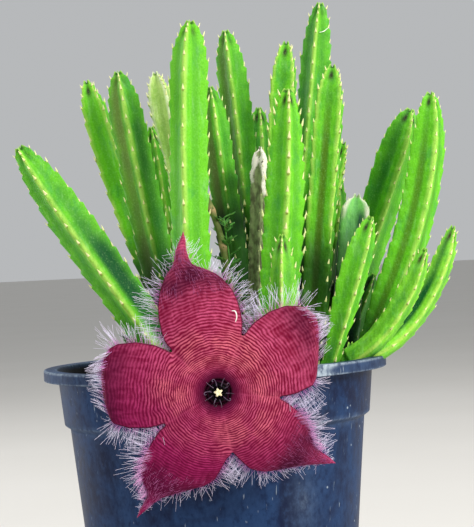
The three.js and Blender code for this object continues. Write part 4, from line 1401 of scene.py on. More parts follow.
@dataclass
class Corolla:
    """The wrinkled corolla, its fringe of hairs, and the down and tufts on its lobes.

    funnel gives the face's height at distances from the centre, and pitch how far apart its
    wrinkles are there.
    """

    centre: Point = (1, -124, 176)
    throat: float = 6.5
    sinus: float = 31.6
    half_angle: float = math.pi / 5
    droop: float = 2.6
    fold_radius: float = 6.0
    thickness: float = 2.0
    tip_thickness: float = 1.2
    row_step: float = 0.3
    columns: int = 52
    coarse: int = 4
    wrinkle_height: float = 0.3
    curl_reach: float = 8.0
    funnel: tuple[tuple[float, float], ...] = ((6.5, -5.2), (12, -3.2), (20, -1.2), (30, 0), (80, 0))
    pitch: tuple[tuple[float, float], ...] = (
        (6, 0.85), (12, 0.92), (20, 1.12), (28, 1.38), (40, 1.7), (60, 1.65), (90, 1.4),
    )
    hairs_per_side: int = 165
    fringe_length: float = 9.6
    hairs_on_fold: int = 140
    hairs_of_down: int = 230
    hairs_in_tuft: int = 150

    def smooth(self, knots: Sequence[tuple[float, float]], at: np.ndarray, blur: float) -> np.ndarray:
        """Values of a line through knots, rounded at each knot.

        Args:
            knots: Places and values.
            at: Where the values are wanted.
            blur: How far the rounding reaches.

        Returns:
            The values.
        """
        places, values = np.array(knots, float).T
        total = np.zeros(np.shape(at))
        offsets = np.linspace(-1, 1, 9)
        weights = np.cos(offsets * np.pi / 2) ** 2 + 1e-9
        for offset, weight in zip(offsets, weights / weights.sum()):
            total += weight * np.interp(np.asarray(at) + blur * offset, places, values)
        return total

    def bent(self, lobe: Lobe, along: np.ndarray, across: np.ndarray, height: np.ndarray) -> np.ndarray:
        """Places on a lobe as points in space.

        Args:
            lobe: The lobe.
            along: Distance along its axis.
            across: Distance to its side.
            height: Height above its face.

        Returns:
            The points.
        """
        turn, turned, fold = (math.radians(value) for value in (lobe.fold_turn, lobe.curl_turn, lobe.fold))
        past = (along - lobe.fold_at) * math.cos(turn) + across * math.sin(turn)
        curl = np.clip(past / self.fold_radius, 0, fold)
        rest = past - curl * self.fold_radius
        moved = (self.fold_radius + height) * np.sin(curl) + rest * np.cos(curl)
        sunk = (self.fold_radius + height) * np.cos(curl) - self.fold_radius - rest * np.sin(curl)
        beyond = np.clip(along * math.cos(turned) + across * math.sin(turned) - lobe.curl_at, 0, None)
        depth = np.where(past > 0, sunk, height) - lobe.curl * (1 - np.exp(-(beyond / self.curl_reach) ** 2))
        shift = np.where(past > 0, moved - past, 0)
        right, up = lobe.around(along + shift * math.cos(turn), across + shift * math.sin(turn))
        return np.stack([self.centre[0] + right, self.centre[1] - depth, self.centre[2] + up], axis=-1)

    def flat(self, lobe: Lobe, along: np.ndarray,
             share: np.ndarray) -> tuple[np.ndarray, np.ndarray, np.ndarray]:
        """Where a station and a share across lie on the lobe before it bends.

        Args:
            lobe: The lobe.
            along: Distance of the station from the centre on the lobe's axis.
            share: From -1 to 1 across the lobe.

        Returns:
            Distance along the axis, distance to the side, and height of the front face.
        """
        turn = share * self.half_angle
        inner = along <= self.sinus
        past = np.clip((along - self.sinus) / (lobe.length - self.sinus), 0, 1)
        sag = self.sinus * (1 - math.cos(self.half_angle)) * (1 - past)
        arch = (1 - np.cos(turn)) / (1 - math.cos(self.half_angle))
        at = along - sag
        own = smoothstep(0, 4, at - lobe.margins[0][0])
        sinus_wide = self.sinus * math.sin(self.half_angle)
        places, *sides = zip(*lobe.margins)
        left, right = (
            side * sinus_wide * (1 - own) + own * self.smooth(list(zip(places, wide)), at, 1.6)
            for wide, side in zip(sides, (1, -1))
        )
        width = (left - right) / 2 * smoothstep(-0.01, 0.06, (lobe.length - along) / lobe.length) ** 0.3
        across = width * np.sin(turn) / math.sin(self.half_angle) + (left + right) / 2
        x = np.where(inner, along * np.cos(turn), along - sag * arch)
        y = np.where(inner, along * np.sin(turn), across)
        sink = self.droop * share ** 2 * smoothstep(0.4 * self.sinus, self.sinus, along)
        height = self.smooth(self.funnel, along, 3.0) - sink
        wave = 0.7 * lobe.lumps(x, y, 17, 61) * self.free(along, share) * smoothstep(22, 44, along)
        return x, y, height + wave * smoothstep(1.02, 0.9, along / lobe.length)

    def free(self, along: np.ndarray, share: np.ndarray) -> np.ndarray:
        """How far a place is its lobe's own: 0 where two lobes meet, 1 away from there."""
        return 1 - share ** 4 * smoothstep(self.sinus + 8, self.sinus, along)

    def crest(self, lobe: Lobe, along: np.ndarray, x: np.ndarray, y: np.ndarray,
              share: np.ndarray) -> np.ndarray:
        """How high the wrinkles stand.

        Args:
            lobe: The lobe.
            along: Distance of each place's station from the centre.
            x: Its distance along the lobe's axis.
            y: Its distance to the side.
            share: Its share across the lobe, from -1 to 1.

        Returns:
            From 0 in a furrow to 1 on a crest.
        """
        right, up = lobe.around(x, y)
        spot = np.stack([right, up, 0 * x], axis=-1)
        rate = np.linspace(0, 95, 400)
        phase_at = np.cumsum(1 / self.smooth(self.pitch, rate, 4)) * (rate[1] - rate[0])
        phase = np.interp(along, rate, phase_at)
        if lobe.curl_turn:
            phase += 0.28 * np.clip(phase - np.interp(self.sinus, rate, phase_at), 0, None)
        forks = np.arctan2(lumps(spot, 15, 75), lumps(spot, 15, 76)) / (2 * np.pi)
        phase = phase + forks * smoothstep(10, 24, along)
        for height, size, seed in ((0.42, 9, 71), (0.32, 3.6, 72), (0.18, 1.7, 73)):
            phase = phase + height * lumps(spot, size, seed)
        wave = 0.5 + 0.5 * np.cos(2 * np.pi * phase)
        broken = 0.74 + 0.26 * lumps(spot, 2.6, 74) + 0.16 * lumps(spot, 1.2, 77)
        faint = (0.62 if lobe.folded else 0.42) * smoothstep(30, 48, along + 5 * lumps(spot, 12, 79))
        faint = faint * self.free(along, share)
        streak = lobe.lumps(0.22 * x, y, 1.0, 78)
        return np.clip(wave ** 0.9 * broken * (1 - faint) + (0.42 + 0.42 * streak) * faint, 0, 1)

    def stations(self, lobe: Lobe) -> np.ndarray:
        """Distances of the rows from the centre, with one row just at the sinuses.

        Args:
            lobe: The lobe.

        Returns:
            The distances.
        """
        inner = self.coarse * round((self.sinus - self.throat) / self.row_step / self.coarse)
        outer = self.coarse * round((lobe.length - 0.4 - self.sinus) / self.row_step / self.coarse)
        return np.concatenate([
            np.linspace(self.throat, self.sinus, inner + 1),
            np.linspace(self.sinus, lobe.length - 0.4, outer + 1)[1:],
        ])

    def add_lobe(self, skin: Skin, lobe: Lobe) -> None:
        """Adds one fifth of the corolla: a fine front, a coarse back and the walls between.

        Args:
            skin: What it is added to.
            lobe: The lobe.
        """
        along, share = np.meshgrid(self.stations(lobe), np.linspace(-1, 1, self.columns + 1), indexing="ij")
        x, y, height = self.flat(lobe, along, share)
        crest = self.crest(lobe, along, x, y, share)
        endward = smoothstep(0.45, 1.0, (along - self.sinus) / (lobe.length - self.sinus))
        fade = smoothstep(1.0, 0.93, np.abs(share)) * 0.6 + 0.4
        fade *= smoothstep(self.throat, self.throat + 3, along) * (1 - 0.5 * endward)
        edge = np.where(along > self.sinus, np.abs(share), 0)
        dusk = np.exp(-((x + 0.12 * np.abs(y) - lobe.dusk) / 9) ** 2)
        dusk *= (0.95 + 0.35 * lobe.lumps(x, y, 9, 64)) * (0.6 if lobe.folded else 1.0)
        right, up = lobe.around(x, y)
        # Painted light from above and the right, from 0 to 1.
        upper = 0.5 + (up * 0.8 + right * 0.5) / 70
        raised = height + self.wrinkle_height * (crest - 0.5) * fade
        front = skin.add_grid(
            self.bent(lobe, x, y, raised), closed=False, out=along, crest=crest * fade + 0.6 * (1 - fade),
            edge=edge, dusk=np.clip(dusk, 0, 1), upper=np.clip(upper, 0, 1), behind=0.0,
        )
        self.add_back(skin, lobe, front, x, y, height, along)

    def add_back(self, skin: Skin, lobe: Lobe, front: np.ndarray, x: np.ndarray, y: np.ndarray,
                 height: np.ndarray, along: np.ndarray) -> None:
        """Adds the coarse back of a lobe, and the walls between it and the front.

        Args:
            skin: What it is added to.
            lobe: The lobe.
            front: Indices of the front's points.
            x: Their distances along the lobe's axis.
            y: Their distances to the side.
            height: Their heights, without the wrinkles.
            along: Distances of their stations.
        """
        every = self.coarse
        beyond = np.clip((along - self.sinus) / (lobe.length - self.sinus), 0, 1)
        wall = self.thickness + (self.tip_thickness - self.thickness) * beyond
        under = self.bent(lobe, x, y, height - wall)[::every, ::every]
        back = skin.add_points(under, out=along[::every, ::every], crest=0.7, behind=1.0)
        back = back + np.arange(under.shape[0] * under.shape[1]).reshape(under.shape[:2])
        quads = np.stack([back[:-1, :-1], back[1:, :-1], back[1:, 1:], back[:-1, 1:]], axis=-1)
        skin.add_faces(quads.reshape(-1, 4).tolist())
        first = round((self.sinus - self.throat) / self.row_step / every)
        for row in range(first, len(back) - 1):
            fine = front[row * every:(row + 1) * every + 1]
            skin.add_faces([
                (*fine[::-1, 0], back[row, 0], back[row + 1, 0]),
                (*fine[:, -1], back[row + 1, -1], back[row, -1]),
            ])
        for column in range(self.columns // every):
            fine = front[:, column * every:(column + 1) * every + 1]
            skin.add_faces([
                (*fine[0], back[0, column + 1], back[0, column]),
                (*fine[-1, ::-1], back[-1, column], back[-1, column + 1]),
            ])

    def build(self, kit: Kit) -> None:
        """Builds the corolla with its hairs.

        Args:
            kit: What the sub-assemblies share.
        """
        skin = Skin()
        for lobe in LOBES:
            self.add_lobe(skin, lobe)
        piece = skin.make("corolla_flesh", CorollaFinish().make())
        weld(piece)
        settle(piece, "petal_crimson", "corolla")
        self.build_fringe(kit)
        self.build_down(kit)

    def margin(self, lobe: Lobe, along: np.ndarray, side: float,
               inset: float = 0.0) -> tuple[np.ndarray, ...]:
        """Points on a margin of a lobe with the directions outwards and ahead.

        Args:
            lobe: The lobe.
            along: Distances of the stations.
            side: -1 or 1.
            inset: How far inside the margin, as a share of the half-width.

        Returns:
            The points, the directions outwards and the directions towards the tip.
        """
        share = np.full(along.shape, side * (1 - inset))

        def place(at: np.ndarray, part: np.ndarray) -> np.ndarray:
            """A point half way through the flesh."""
            x, y, height = self.flat(lobe, at, part)
            return self.bent(lobe, x, y, height - self.thickness / 2)

        edge = place(along, share)
        ahead = unit(place(along + 0.8, share) - edge)
        outward = edge - place(along, share * 0.75)
        outward = unit(outward - ahead * np.sum(outward * ahead, axis=-1, keepdims=True))
        return edge, outward, ahead

    def build_fringe(self, kit: Kit) -> None:
        """Grows the long pale hairs on the margins and just behind them.

        Args:
            kit: What the sub-assemblies share.
        """
        random = np.random.default_rng(7)
        skin = Skin()
        for lobe in LOBES:
            for side in (-1.0, 1.0):
                count = self.hairs_per_side
                share = random.uniform(0.015, 1, count)
                along = self.sinus + 0.4 + share * (0.97 * lobe.length - self.sinus)
                inset = np.where(random.random(count) < 0.75, 0.0, random.uniform(0, 1.0, count))
                edge, outward, ahead = self.margin(lobe, along, side)
                inner = self.margin(lobe, along, side, 0.12)[0]
                edge = edge + (inner - edge) * inset[:, None]
                normal = unit(np.cross(ahead, outward)) * side
                fan = random.normal(0.25, 0.28, count)[:, None]
                lift = random.normal(-0.1, 0.25, count)[:, None]
                aim = unit(outward + fan * ahead + lift * normal)
                taper = smoothstep(1.02, 0.75, share) * (0.6 + 0.4 * smoothstep(0, 0.2, share))
                reach = (self.fringe_length * taper + 1.8) * random.uniform(0.65, 1.4, count)
                skin.add_points(edge - 0.4 * outward, size=reach * MM, aim=aim)
            if lobe.folded:
                ends = (lobe.fold_at + 4, lobe.fold_at + 13)
                self.add_fuzz(skin, lobe, self.hairs_on_fold, ends, 1.1, (4.5, 10.5), random)
        self.grow_hair(kit, skin, "flower_fringe", kit.fringe_finish, Radius=0.000075, Wave=0.0009, Steps=5)

    def grow_hair(self, kit: Kit, skin: Skin, name: str, finish: bpy.types.Material,
                  **sizes: float) -> None:
        """Grows hairs from a skin's points and settles them.

        Args:
            kit: The shared trees.
            skin: The roots.
            name: The piece's name.
            finish: The hairs' material.
            **sizes: The hair tree's inputs Radius, Wave and Steps.
        """
        piece = skin.make(name, finish)
        grow(piece, kit.hair, Finish=finish, **sizes)
        settle(piece, "petal_crimson")

    def add_fuzz(self, skin: Skin, lobe: Lobe, count: int, reach: tuple[float, float], lift: float,
                 length: tuple[float, float], random: np.random.Generator,
                 across: tuple[float, float] = (-0.95, 0.95), sideways: float = 0.0) -> None:
        """Adds the roots of short hairs that lean towards the end of a lobe.

        Args:
            skin: What they are added to.
            lobe: The lobe.
            count: How many.
            reach: Where along the lobe they start and end.
            lift: How steeply they stand up.
            length: Shortest and longest hair.
            random: Source of their differences.
            across: Between which shares of the half-width they stand.
            sideways: How far they lean to the lobe's left.
        """
        along = random.uniform(*reach, count)
        share = random.uniform(*across, count)
        x, y, height = self.flat(lobe, along, share)
        place = self.bent(lobe, x, y, height)
        up = unit(self.bent(lobe, x, y, height + 1) - place)
        x, y, height = self.flat(lobe, along + 1, share)
        ahead = unit(self.bent(lobe, x, y, height) - place)
        steep = lift * random.uniform(0.6, 1.4, count)[:, None]
        aside = (sideways + random.normal(0, 0.16, count))[:, None]
        aim = unit(ahead + up * steep + np.cross(up, ahead) * aside)
        skin.add_points(place - 0.3 * up, size=random.uniform(*length, count) * MM, aim=aim)

    def build_down(self, kit: Kit) -> None:
        """Grows short dull hairs on the ends of the open lobes, and lilac tufts at curled margins.

        Args:
            kit: What the sub-assemblies share.
        """
        random = np.random.default_rng(9)
        down, tufts = Skin(), Skin()
        for lobe in LOBES:
            if not lobe.folded:
                reach = (lobe.dusk - 12, lobe.dusk + 12)
                self.add_fuzz(down, lobe, self.hairs_of_down, reach, 0.25, (2.0, 4.2), random)
            if lobe.curl_turn:
                side = -math.copysign(1, lobe.curl_turn)
                reach = (0.56 * lobe.length, 0.84 * lobe.length)
                band = (0.84 * side - 0.12, 0.84 * side + 0.12)
                self.add_fuzz(
                    tufts, lobe, self.hairs_in_tuft, reach, 0.3, (3, 7), random, band, 1.3 * side,
                )
        for name, skin, finish in (
                ("flower_down", down, kit.down_finish), ("flower_tufts", tufts, kit.tuft_finish)):
            self.grow_hair(kit, skin, name, finish, Radius=0.00006, Wave=0.0006, Steps=4)

    def place_at(self, angle: Any, radius: Any, depth: Any) -> np.ndarray:
        """Points in front of the centre, from angles in radians, radii and heights.

        Args:
            angle: Angles in radians.
            radius: Distances from the centre.
            depth: Heights in front of it.

        Returns:
            The points.
        """
        angle, radius, depth = np.broadcast_arrays(angle, radius, depth)
        right, up = radius * np.cos(angle), radius * np.sin(angle)
        return np.stack([self.centre[0] + right, self.centre[1] - depth, self.centre[2] + up], axis=-1)


def weld(piece: bpy.types.Object, distance: float = 0.00001) -> None:
    """Merges the points of a piece that lie together, and turns its faces outwards.

    Args:
        piece: The piece.
        distance: How near, in metres.
    """
    mesh = bmesh.new()
    mesh.from_mesh(piece.data)
    bmesh.ops.remove_doubles(mesh, verts=mesh.verts, dist=distance)
    bmesh.ops.recalc_face_normals(mesh, faces=mesh.faces)
    mesh.to_mesh(piece.data)
    mesh.free()


def tube(skin: Skin, points: Any, radii: Sequence[float], sides: int = 10, steps: int = 24,
         look: int = 0, **numbers: Any) -> None:
    """Adds a closed round tube along a smooth curve.

    Args:
        skin: What it is added to.
        points: Points that the curve passes through.
        radii: Radius at each point.
        sides: Corners of the section.
        steps: Stations along the curve.
        look: Index of the material.
        **numbers: As in Skin.add_points.
    """
    knots = np.array(points, float)
    extended = np.vstack([2 * knots[0] - knots[1], knots, 2 * knots[-1] - knots[-2]])
    at = np.linspace(0, len(knots) - 1, steps + 1)
    cell = np.minimum(at.astype(int), len(knots) - 2)
    t = (at - cell)[:, None]
    a, b, c, d = (extended[cell + k] for k in range(4))
    line = b + 0.5 * t * (c - a + (2 * a - 5 * b + 4 * c - d) * t + (3 * b - a - 3 * c + d) * t ** 2)
    radius = np.interp(at, np.arange(len(knots)), radii)
    tangent = unit(np.gradient(line, axis=0))
    guide = np.array([0.31, -0.9, 0.3])
    first = unit(np.cross(tangent, guide))
    second = np.cross(tangent, first)
    turn = round_turn(sides)[:, None]
    ring = first[:, None] * np.cos(turn) + second[:, None] * np.sin(turn)
    skin.add_closed(line[:, None] + ring * radius[:, None, None], line[0], line[-1], look, **numbers)


@dataclass
class FlowerMiddle:
    """The glossy dark corona with its horns, and the cream star on it."""

    corolla: Corolla = field(default_factory=Corolla)
    back: float = -7.46
    sides: int = 40

    def build(self) -> None:
        """Builds the corona and the star."""
        skin = Skin()
        turn = round_turn(self.sides)
        depths, radii = np.array((
            (self.back, 7.6), (self.back + 0.2, 7.8), (self.back + 0.25, 6.2), (-5.4, 6.2), (-4.6, 5.8),
            (-4.4, 4.8), (-4.4, 3.6), (-3.2, 3.0), (-2.2, 2.4), (-2.1, 1.2),
        )).T[..., None]
        lobed = radii * (1 + 0.05 * np.cos(5 * (turn - math.radians(LOBES[0].angle))))
        index = skin.add_grid(
            self.corolla.place_at(turn, lobed, depths), closed=True, patch=smoothstep(4.6, 6.2, radii),
        )
        skin.fan(index[-1], self.corolla.place_at(0, 0, -2.1), True)
        skin.fan(index[0], self.corolla.place_at(0, 0, self.back), False)
        strand = ((2.4, -2.6, 0), (4.4, -2.2, 0.1), (6.4, -1.9, 0.3), (8.2, -1.0, 0.2))
        hook = ((3.2, -3.4, 0), (5.0, -2.6, -0.1), (6.4, -1.6, 0.1), (7.2, -0.8, 0.5), (7.3, -0.1, 1.2),
                (6.8, 0.1, 1.5), (6.3, 0.2, 1.2))
        short = ((2.0, -2.6, 0), (2.6, -1.4, 0), (3.2, -0.4, 0.2), (3.9, 0.1, 0.3))
        for lobe in LOBES:
            angle = math.radians(lobe.angle)
            self.horn(skin, angle + math.radians(35), strand, (0.32, 0.22, 0.18, 0.1), 1)
            self.horn(skin, angle + math.radians(2), hook, (0.42, 0.3, 0.24, 0.22, 0.24, 0.3, 0.26), 1)
            self.horn(skin, angle + math.radians(36), short, (0.6, 0.5, 0.4, 0.2), 0)
        piece = skin.make("corona_gloss", CORONA_GLOSS.make(), CORONA_STRAND.make())
        settle(piece, "corona_dark", "corona")
        self.build_star()

    def horn(self, skin: Skin, angle: float, line: Sequence[Point], radii: Sequence[float],
             look: int) -> None:
        """Adds one horn: its line holds distances outwards, up and sideways."""
        out, up, aside = np.array(line).T
        tube(skin, self.corolla.place_at(angle + aside / out, out, up), radii, sides=8, steps=16, look=look)

    def build_star(self) -> None:
        """Builds the cream star: a domed pentagon with five blunt points and a dimple."""
        skin = Skin()
        turn = round_turn(self.sides)
        lobed = 0.5 + 0.5 * np.cos(5 * (turn - math.radians(LOBES[0].angle)))
        share, depth = np.array((
            (0.9, -1.9), (1.0, -1.2), (0.86, -0.6), (0.55, -0.35), (0.2, -0.6),
        )).T[..., None]
        place = self.corolla.place_at
        skin.add_closed(
            place(turn, share * (1.5 + 0.95 * lobed ** 1.2), depth), place(0, 0, -1.9), place(0, 0, -0.75),
        )
        settle(skin.make("cream_star", STAR_CREAM.make()), "star_cream", "column_star")


@dataclass
class FlowerBearer:
    """The young flowering stem, the flower's stalk, and the calyx behind the corolla."""

    corolla: Corolla = field(default_factory=Corolla)
    stalk: tuple[Point, ...] = (
        (35, -66, 184), (23, -84, 199), (8, -101, 197), (1, -110, 187), (1, -114, 177),
    )
    calyx_depth: float = -7.5
    calyx_radius: float = 8.0

    def build(self, kit: Kit) -> None:
        """Builds the stem, the stalk and the calyx as one piece.

        Args:
            kit: What the sub-assemblies share.
        """
        skin = Skin()
        StemBuilder().add(skin, FLOWERING_STEM, seed=50)
        tube(skin, self.stalk, (3.6, 2.9, 2.8, 3.0, 3.6), sides=16, steps=40, ridge=0.25, glow=0.6)
        self.add_calyx(skin)
        kit.dress_stem(skin, "stem_flowering", Palette.YOUNG, "stem_flowering")

    def add_calyx(self, skin: Skin) -> None:
        """Adds the round calyx and its five narrow sepals.

        Args:
            skin: What it is added to.
        """
        place, wide = self.corolla.place_at, self.calyx_radius
        depth, radius = np.array(((-2.6, wide - 2.6), (-1.8, wide - 0.6), (-0.8, wide), (0, wide - 1))).T
        depth += self.calyx_depth
        grid = place(round_turn(40), radius[:, None], depth[:, None])
        skin.add_closed(grid, place(0, 0, depth[0]), place(0, 0, depth[-1]), ridge=0.3, glow=0.6)
        for lobe in LOBES:
            self.add_sepal(skin, math.radians(lobe.angle + 36))

    def add_sepal(self, skin: Skin, angle: float) -> None:
        """Adds one narrow pointed sepal that lies along the back of the corolla.

        Args:
            skin: What it is added to.
            angle: Where it points, in radians.
        """
        share = np.linspace(0, 1, 14)[:, None]
        turn = round_turn(10)
        middle = self.corolla.place_at(angle, 4 + 15 * share, self.calyx_depth - 1.3 + 0.7 * share ** 2)
        wide = (3.0 * (1 - share) ** 0.7 + 0.1) * np.cos(turn)
        deep = 0.8 * (1 - 0.7 * share) * np.sin(turn)
        across = np.array([-math.sin(angle), 0, math.cos(angle)])
        grid = middle + across * wide[..., None] + np.array([0, 1, 0]) * deep[..., None]
        skin.add_closed(grid, grid[0].mean(axis=0), grid[-1].mean(axis=0), ridge=0.45, glow=0.6)


# Pot and soil


def turned_places(radius: Any, height: np.ndarray, turn: np.ndarray) -> np.ndarray:
    """Places round the pot's axis, from radii, heights and angles that start at the front."""
    right, front = radius * np.sin(turn), radius * np.cos(turn)
    return np.stack(np.broadcast_arrays(right, -front, height), axis=-1)


@dataclass
class Pot:
    """The nursery pot: a tapered body, a stepped collar and a flat outward rim."""

    height: float = 185.0
    wall: float = 1.6
    floor: float = 3.0
    foot_radius: float = 71.5
    step_z: float = 150.4
    step_rise: float = 2.3
    body_top: float = 86.0
    collar_bottom: float = 89.2
    collar_top: float = 91.8
    rim_radius: float = 100.0
    rim_height: float = 6.3
    mouth_radius: float = 92.5
    segments: int = 160
    drain_holes: int = 6
    drain_radius: float = 4.5
    drain_circle: float = 52.0
    # Painted sheen bands down the wall: angle in degrees from the front towards the right, and strength.
    sheen_bands: tuple[tuple[float, float], ...] = ((33.5, 0.46), (320, 0.12), (150, 0.22), (215, 0.28))

    def profile(self) -> list[tuple[float, float, float, float]]:
        """The section from the floor's middle out, up and back down inside.

        Returns:
            Radius, height, size of the round at that corner, and how worn it is; at the rim it paints
            highlight lines too.
        """
        rim_bottom = self.height - self.rim_height
        step_top = self.step_z + self.step_rise
        lip = self.height - self.wall
        inner = self.wall
        flare = (self.body_top - self.foot_radius) / self.step_z
        at_floor = self.foot_radius + self.floor * flare - inner
        return [
            (0, 0, 0, 0.1), (self.foot_radius, 0, 1.6, 0.5), (self.body_top, self.step_z, 0.7, 0.5),
            (self.collar_bottom, step_top, 0.5, 0.58), (self.collar_top, rim_bottom, 0.5, 0.2),
            (self.collar_top, lip, 0.5, 0.2), (self.rim_radius - self.wall, lip, 0.4, 0.3),
            (self.rim_radius - self.wall, rim_bottom, 0.3, 0.5), (self.rim_radius, rim_bottom, 0.5, 0.64),
            (self.rim_radius, self.height, 0.8, 0.68), (self.mouth_radius, self.height, 0.8, 0.6),
            (self.collar_top - inner, rim_bottom, 0.6, 0.3),
            (self.collar_bottom - inner, step_top, 0.5, 0.3), (self.body_top - inner, self.step_z, 0.5, 0.3),
            (at_floor, self.floor, 1.5, 0.3), (0, self.floor, 0, 0.3),
        ]

    def rounded(self) -> np.ndarray:
        """The profile with its corners rounded, as rows of radius, height and wear.

        Returns:
            The rows.
        """
        knots = self.profile()
        rows: list[tuple[float, float, float]] = []
        for number, (radius, height, bend, worn) in enumerate(knots):
            here = np.array([radius, height])
            if bend == 0:
                rows.append((radius, height, worn))
                continue
            before = unit(np.array(knots[number - 1][:2]) - here)
            after = unit(np.array(knots[number + 1][:2]) - here)
            for share in np.linspace(0, 1, 5):
                place = here + before * bend * (1 - share) ** 2 + after * bend * share ** 2
                rows.append((*place, worn))
        return self.filled(rows)

    def filled(self, rows: list[tuple[float, float, float]]) -> np.ndarray:
        """The rows with more set into the long straight stretches, each a little less worn.

        Args:
            rows: Radius, height and wear of each point.

        Returns:
            All the rows.
        """
        dense: list[np.ndarray] = []
        for first, second in zip(rows, rows[1:]):
            a, b = np.array(first), np.array(second)
            on_rim = min(a[0], b[0]) >= self.mouth_radius - 1
            parts = max(1, round(np.linalg.norm((b - a)[:2]) / (0.9 if on_rim else 2.2)))
            kept = 0.65 if on_rim else 0.2
            for part in range(parts):
                share = part / parts
                row = a + (b - a) * share
                near = min(share, 1 - share) * np.linalg.norm((b - a)[:2])
                row[2] = row[2] * (kept + (1 - kept) * math.exp(-near / 0.8)) if parts > 1 else row[2]
                dense.append(row)
        dense.append(np.array(rows[-1]))
        return np.array(dense)

    def build(self) -> None:
        """Builds the pot with its drain holes."""
        radius, height, worn = self.rounded()[1:-1].T[..., None]
        turn = round_turn(self.segments)
        places = turned_places(radius, height, turn)
        is_wall = radius > 60
        swell = 0.25 * lumps(places, 60, 81) * is_wall
        places[..., 0] += swell * np.sin(turn)
        places[..., 1] -= swell * np.cos(turn)
        skin = Skin()
        beyond_rim = np.arange(len(height)) > np.max(np.nonzero(height[:, 0] > self.height - 0.05))
        # Painted shade over the inside, from just below the lip down to the floor.
        inner = beyond_rim[:, None] * smoothstep(0.3, 2.5, self.height - height)
        # Painted sheen bands, added into the same number as the real wear.
        sheen = sum(share * np.exp(-((turn - math.radians(at)) / 0.12) ** 2) for at, share in self.sheen_bands)
        wear = worn + sheen * is_wall * (0.7 + 0.5 * lumps(places, 22, 82))
        index = skin.add_grid(places, closed=True, wear=wear, inner=inner)
        skin.fan(index[0], (0, 0, 0), False, wear=0.1)
        skin.fan(index[-1], (0, 0, self.floor), True, wear=0.1, inner=1.0)
        piece = skin.make("pot_shell", PotFinish().make())
        self.drill(piece)
        settle(piece, "pot_plastic", "pot")

    def drill(self, piece: bpy.types.Object) -> None:
        """Cuts the drain holes through the floor.

        Args:
            piece: The piece.
        """
        skin = Skin()
        turn = round_turn(24)
        height = np.array([-2.0, self.floor + 2])[:, None]
        for angle in round_turn(self.drain_holes):
            middle = self.drain_circle * np.array([math.cos(angle), math.sin(angle), 0])
            skin.add_closed(turned_places(self.drain_radius, height, turn) + middle)
        cutter = skin.make("drain_cutter")
        cut = piece.modifiers.new("drain holes", "BOOLEAN")
        cut.operation, cut.solver, cut.object = "DIFFERENCE", "EXACT", cutter
        bake(piece, cut)
        bpy.data.objects.remove(cutter)


@dataclass
class Soil:
    """The potting mix: a crumbly top on a plain body, with chips strewn over it.

    body holds the radius and height of each ring of the body, below the crumbly top.
    """

    level: float = 168.0
    top_radius: float = 88.2
    floor: float = 3.4
    body: tuple[tuple[float, float], ...] = ((69.6, 3.4), (83.9, 150.0), (86.9, 153.5))
    rings: int = 90
    segments: int = 180
    chips: int = 1500

    def build(self, kit: Kit) -> None:
        """Builds the soil and its chips.

        Args:
            kit: What the sub-assemblies share.
        """
        radii = np.linspace(self.top_radius, 0.6, self.rings)
        rows = np.array([*self.body, *((radius, self.level) for radius in radii)])[..., None]
        places = turned_places(rows[:, 0], rows[:, 1], round_turn(self.segments))
        crumble = 1.1 * lumps(places, 9, 91) + 0.9 * lumps(places, 3.4, 92) + 0.5 * lumps(places, 1.5, 93)
        is_top = (np.arange(len(rows)) > len(self.body))[:, None]
        places[..., 2] += np.clip(crumble, -1.8, 1.6) * is_top
        skin = Skin()
        skin.add_closed(places, (0, 0, self.floor), (0, 0, self.level))
        piece = skin.make("soil_crumbs", SoilFinish().make())
        settle(piece, "potting_mix", "soil")
        self.strew(kit)

    def strew(self, kit: Kit) -> None:
        """Strews chips of bark, grit and perlite over the top.

        Args:
            kit: What the sub-assemblies share.
        """
        random = np.random.default_rng(12)
        skin = Skin()
        radius = self.top_radius * np.sqrt(random.uniform(0, 0.97, self.chips))
        angle = random.uniform(0, 2 * np.pi, self.chips)
        height = 0 * angle + self.level + 0.2
        places = np.stack([radius * np.cos(angle), radius * np.sin(angle), height], axis=1)
        size = random.uniform(0.7, 1.9, self.chips) * np.where(random.random(self.chips) < 0.12, 1.7, 1)
        aim = unit(random.normal(0, 1, (self.chips, 3)) + np.array([0, 0, 0.8]))
        lean = unit(random.normal(0, 1, (self.chips, 3)))
        skin.add_points(places, size=size, aim=aim, lean=lean, chip_kind=random.uniform(0, 1, self.chips))
        piece = skin.make("soil_chips")
        chip = chip_shape()
        grow(piece, kit.scatter, Shape=chip, Finish=ChipFinish().make())
        bpy.data.objects.remove(chip)
        settle(piece, "potting_mix")


def chip_shape() -> bpy.types.Object:
    """A small angular chip, about 1.6 long, that the soil's tree copies.

    Returns:
        The chip.
    """
    skin = Skin()
    turn = round_turn(6)
    height, reach = np.array(((-0.35, 0.55), (0.0, 0.85), (0.35, 0.5))).T[..., None]
    right = reach * (1 + 0.25 * np.sin(2 * turn + 5 * height)) * np.cos(turn)
    skin.add_closed(np.stack([right, 0.7 * reach * np.sin(turn), height + 0 * turn], axis=-1))
    piece = skin.make("chip")
    piece.data.shade_flat()
    return piece


# Small growth


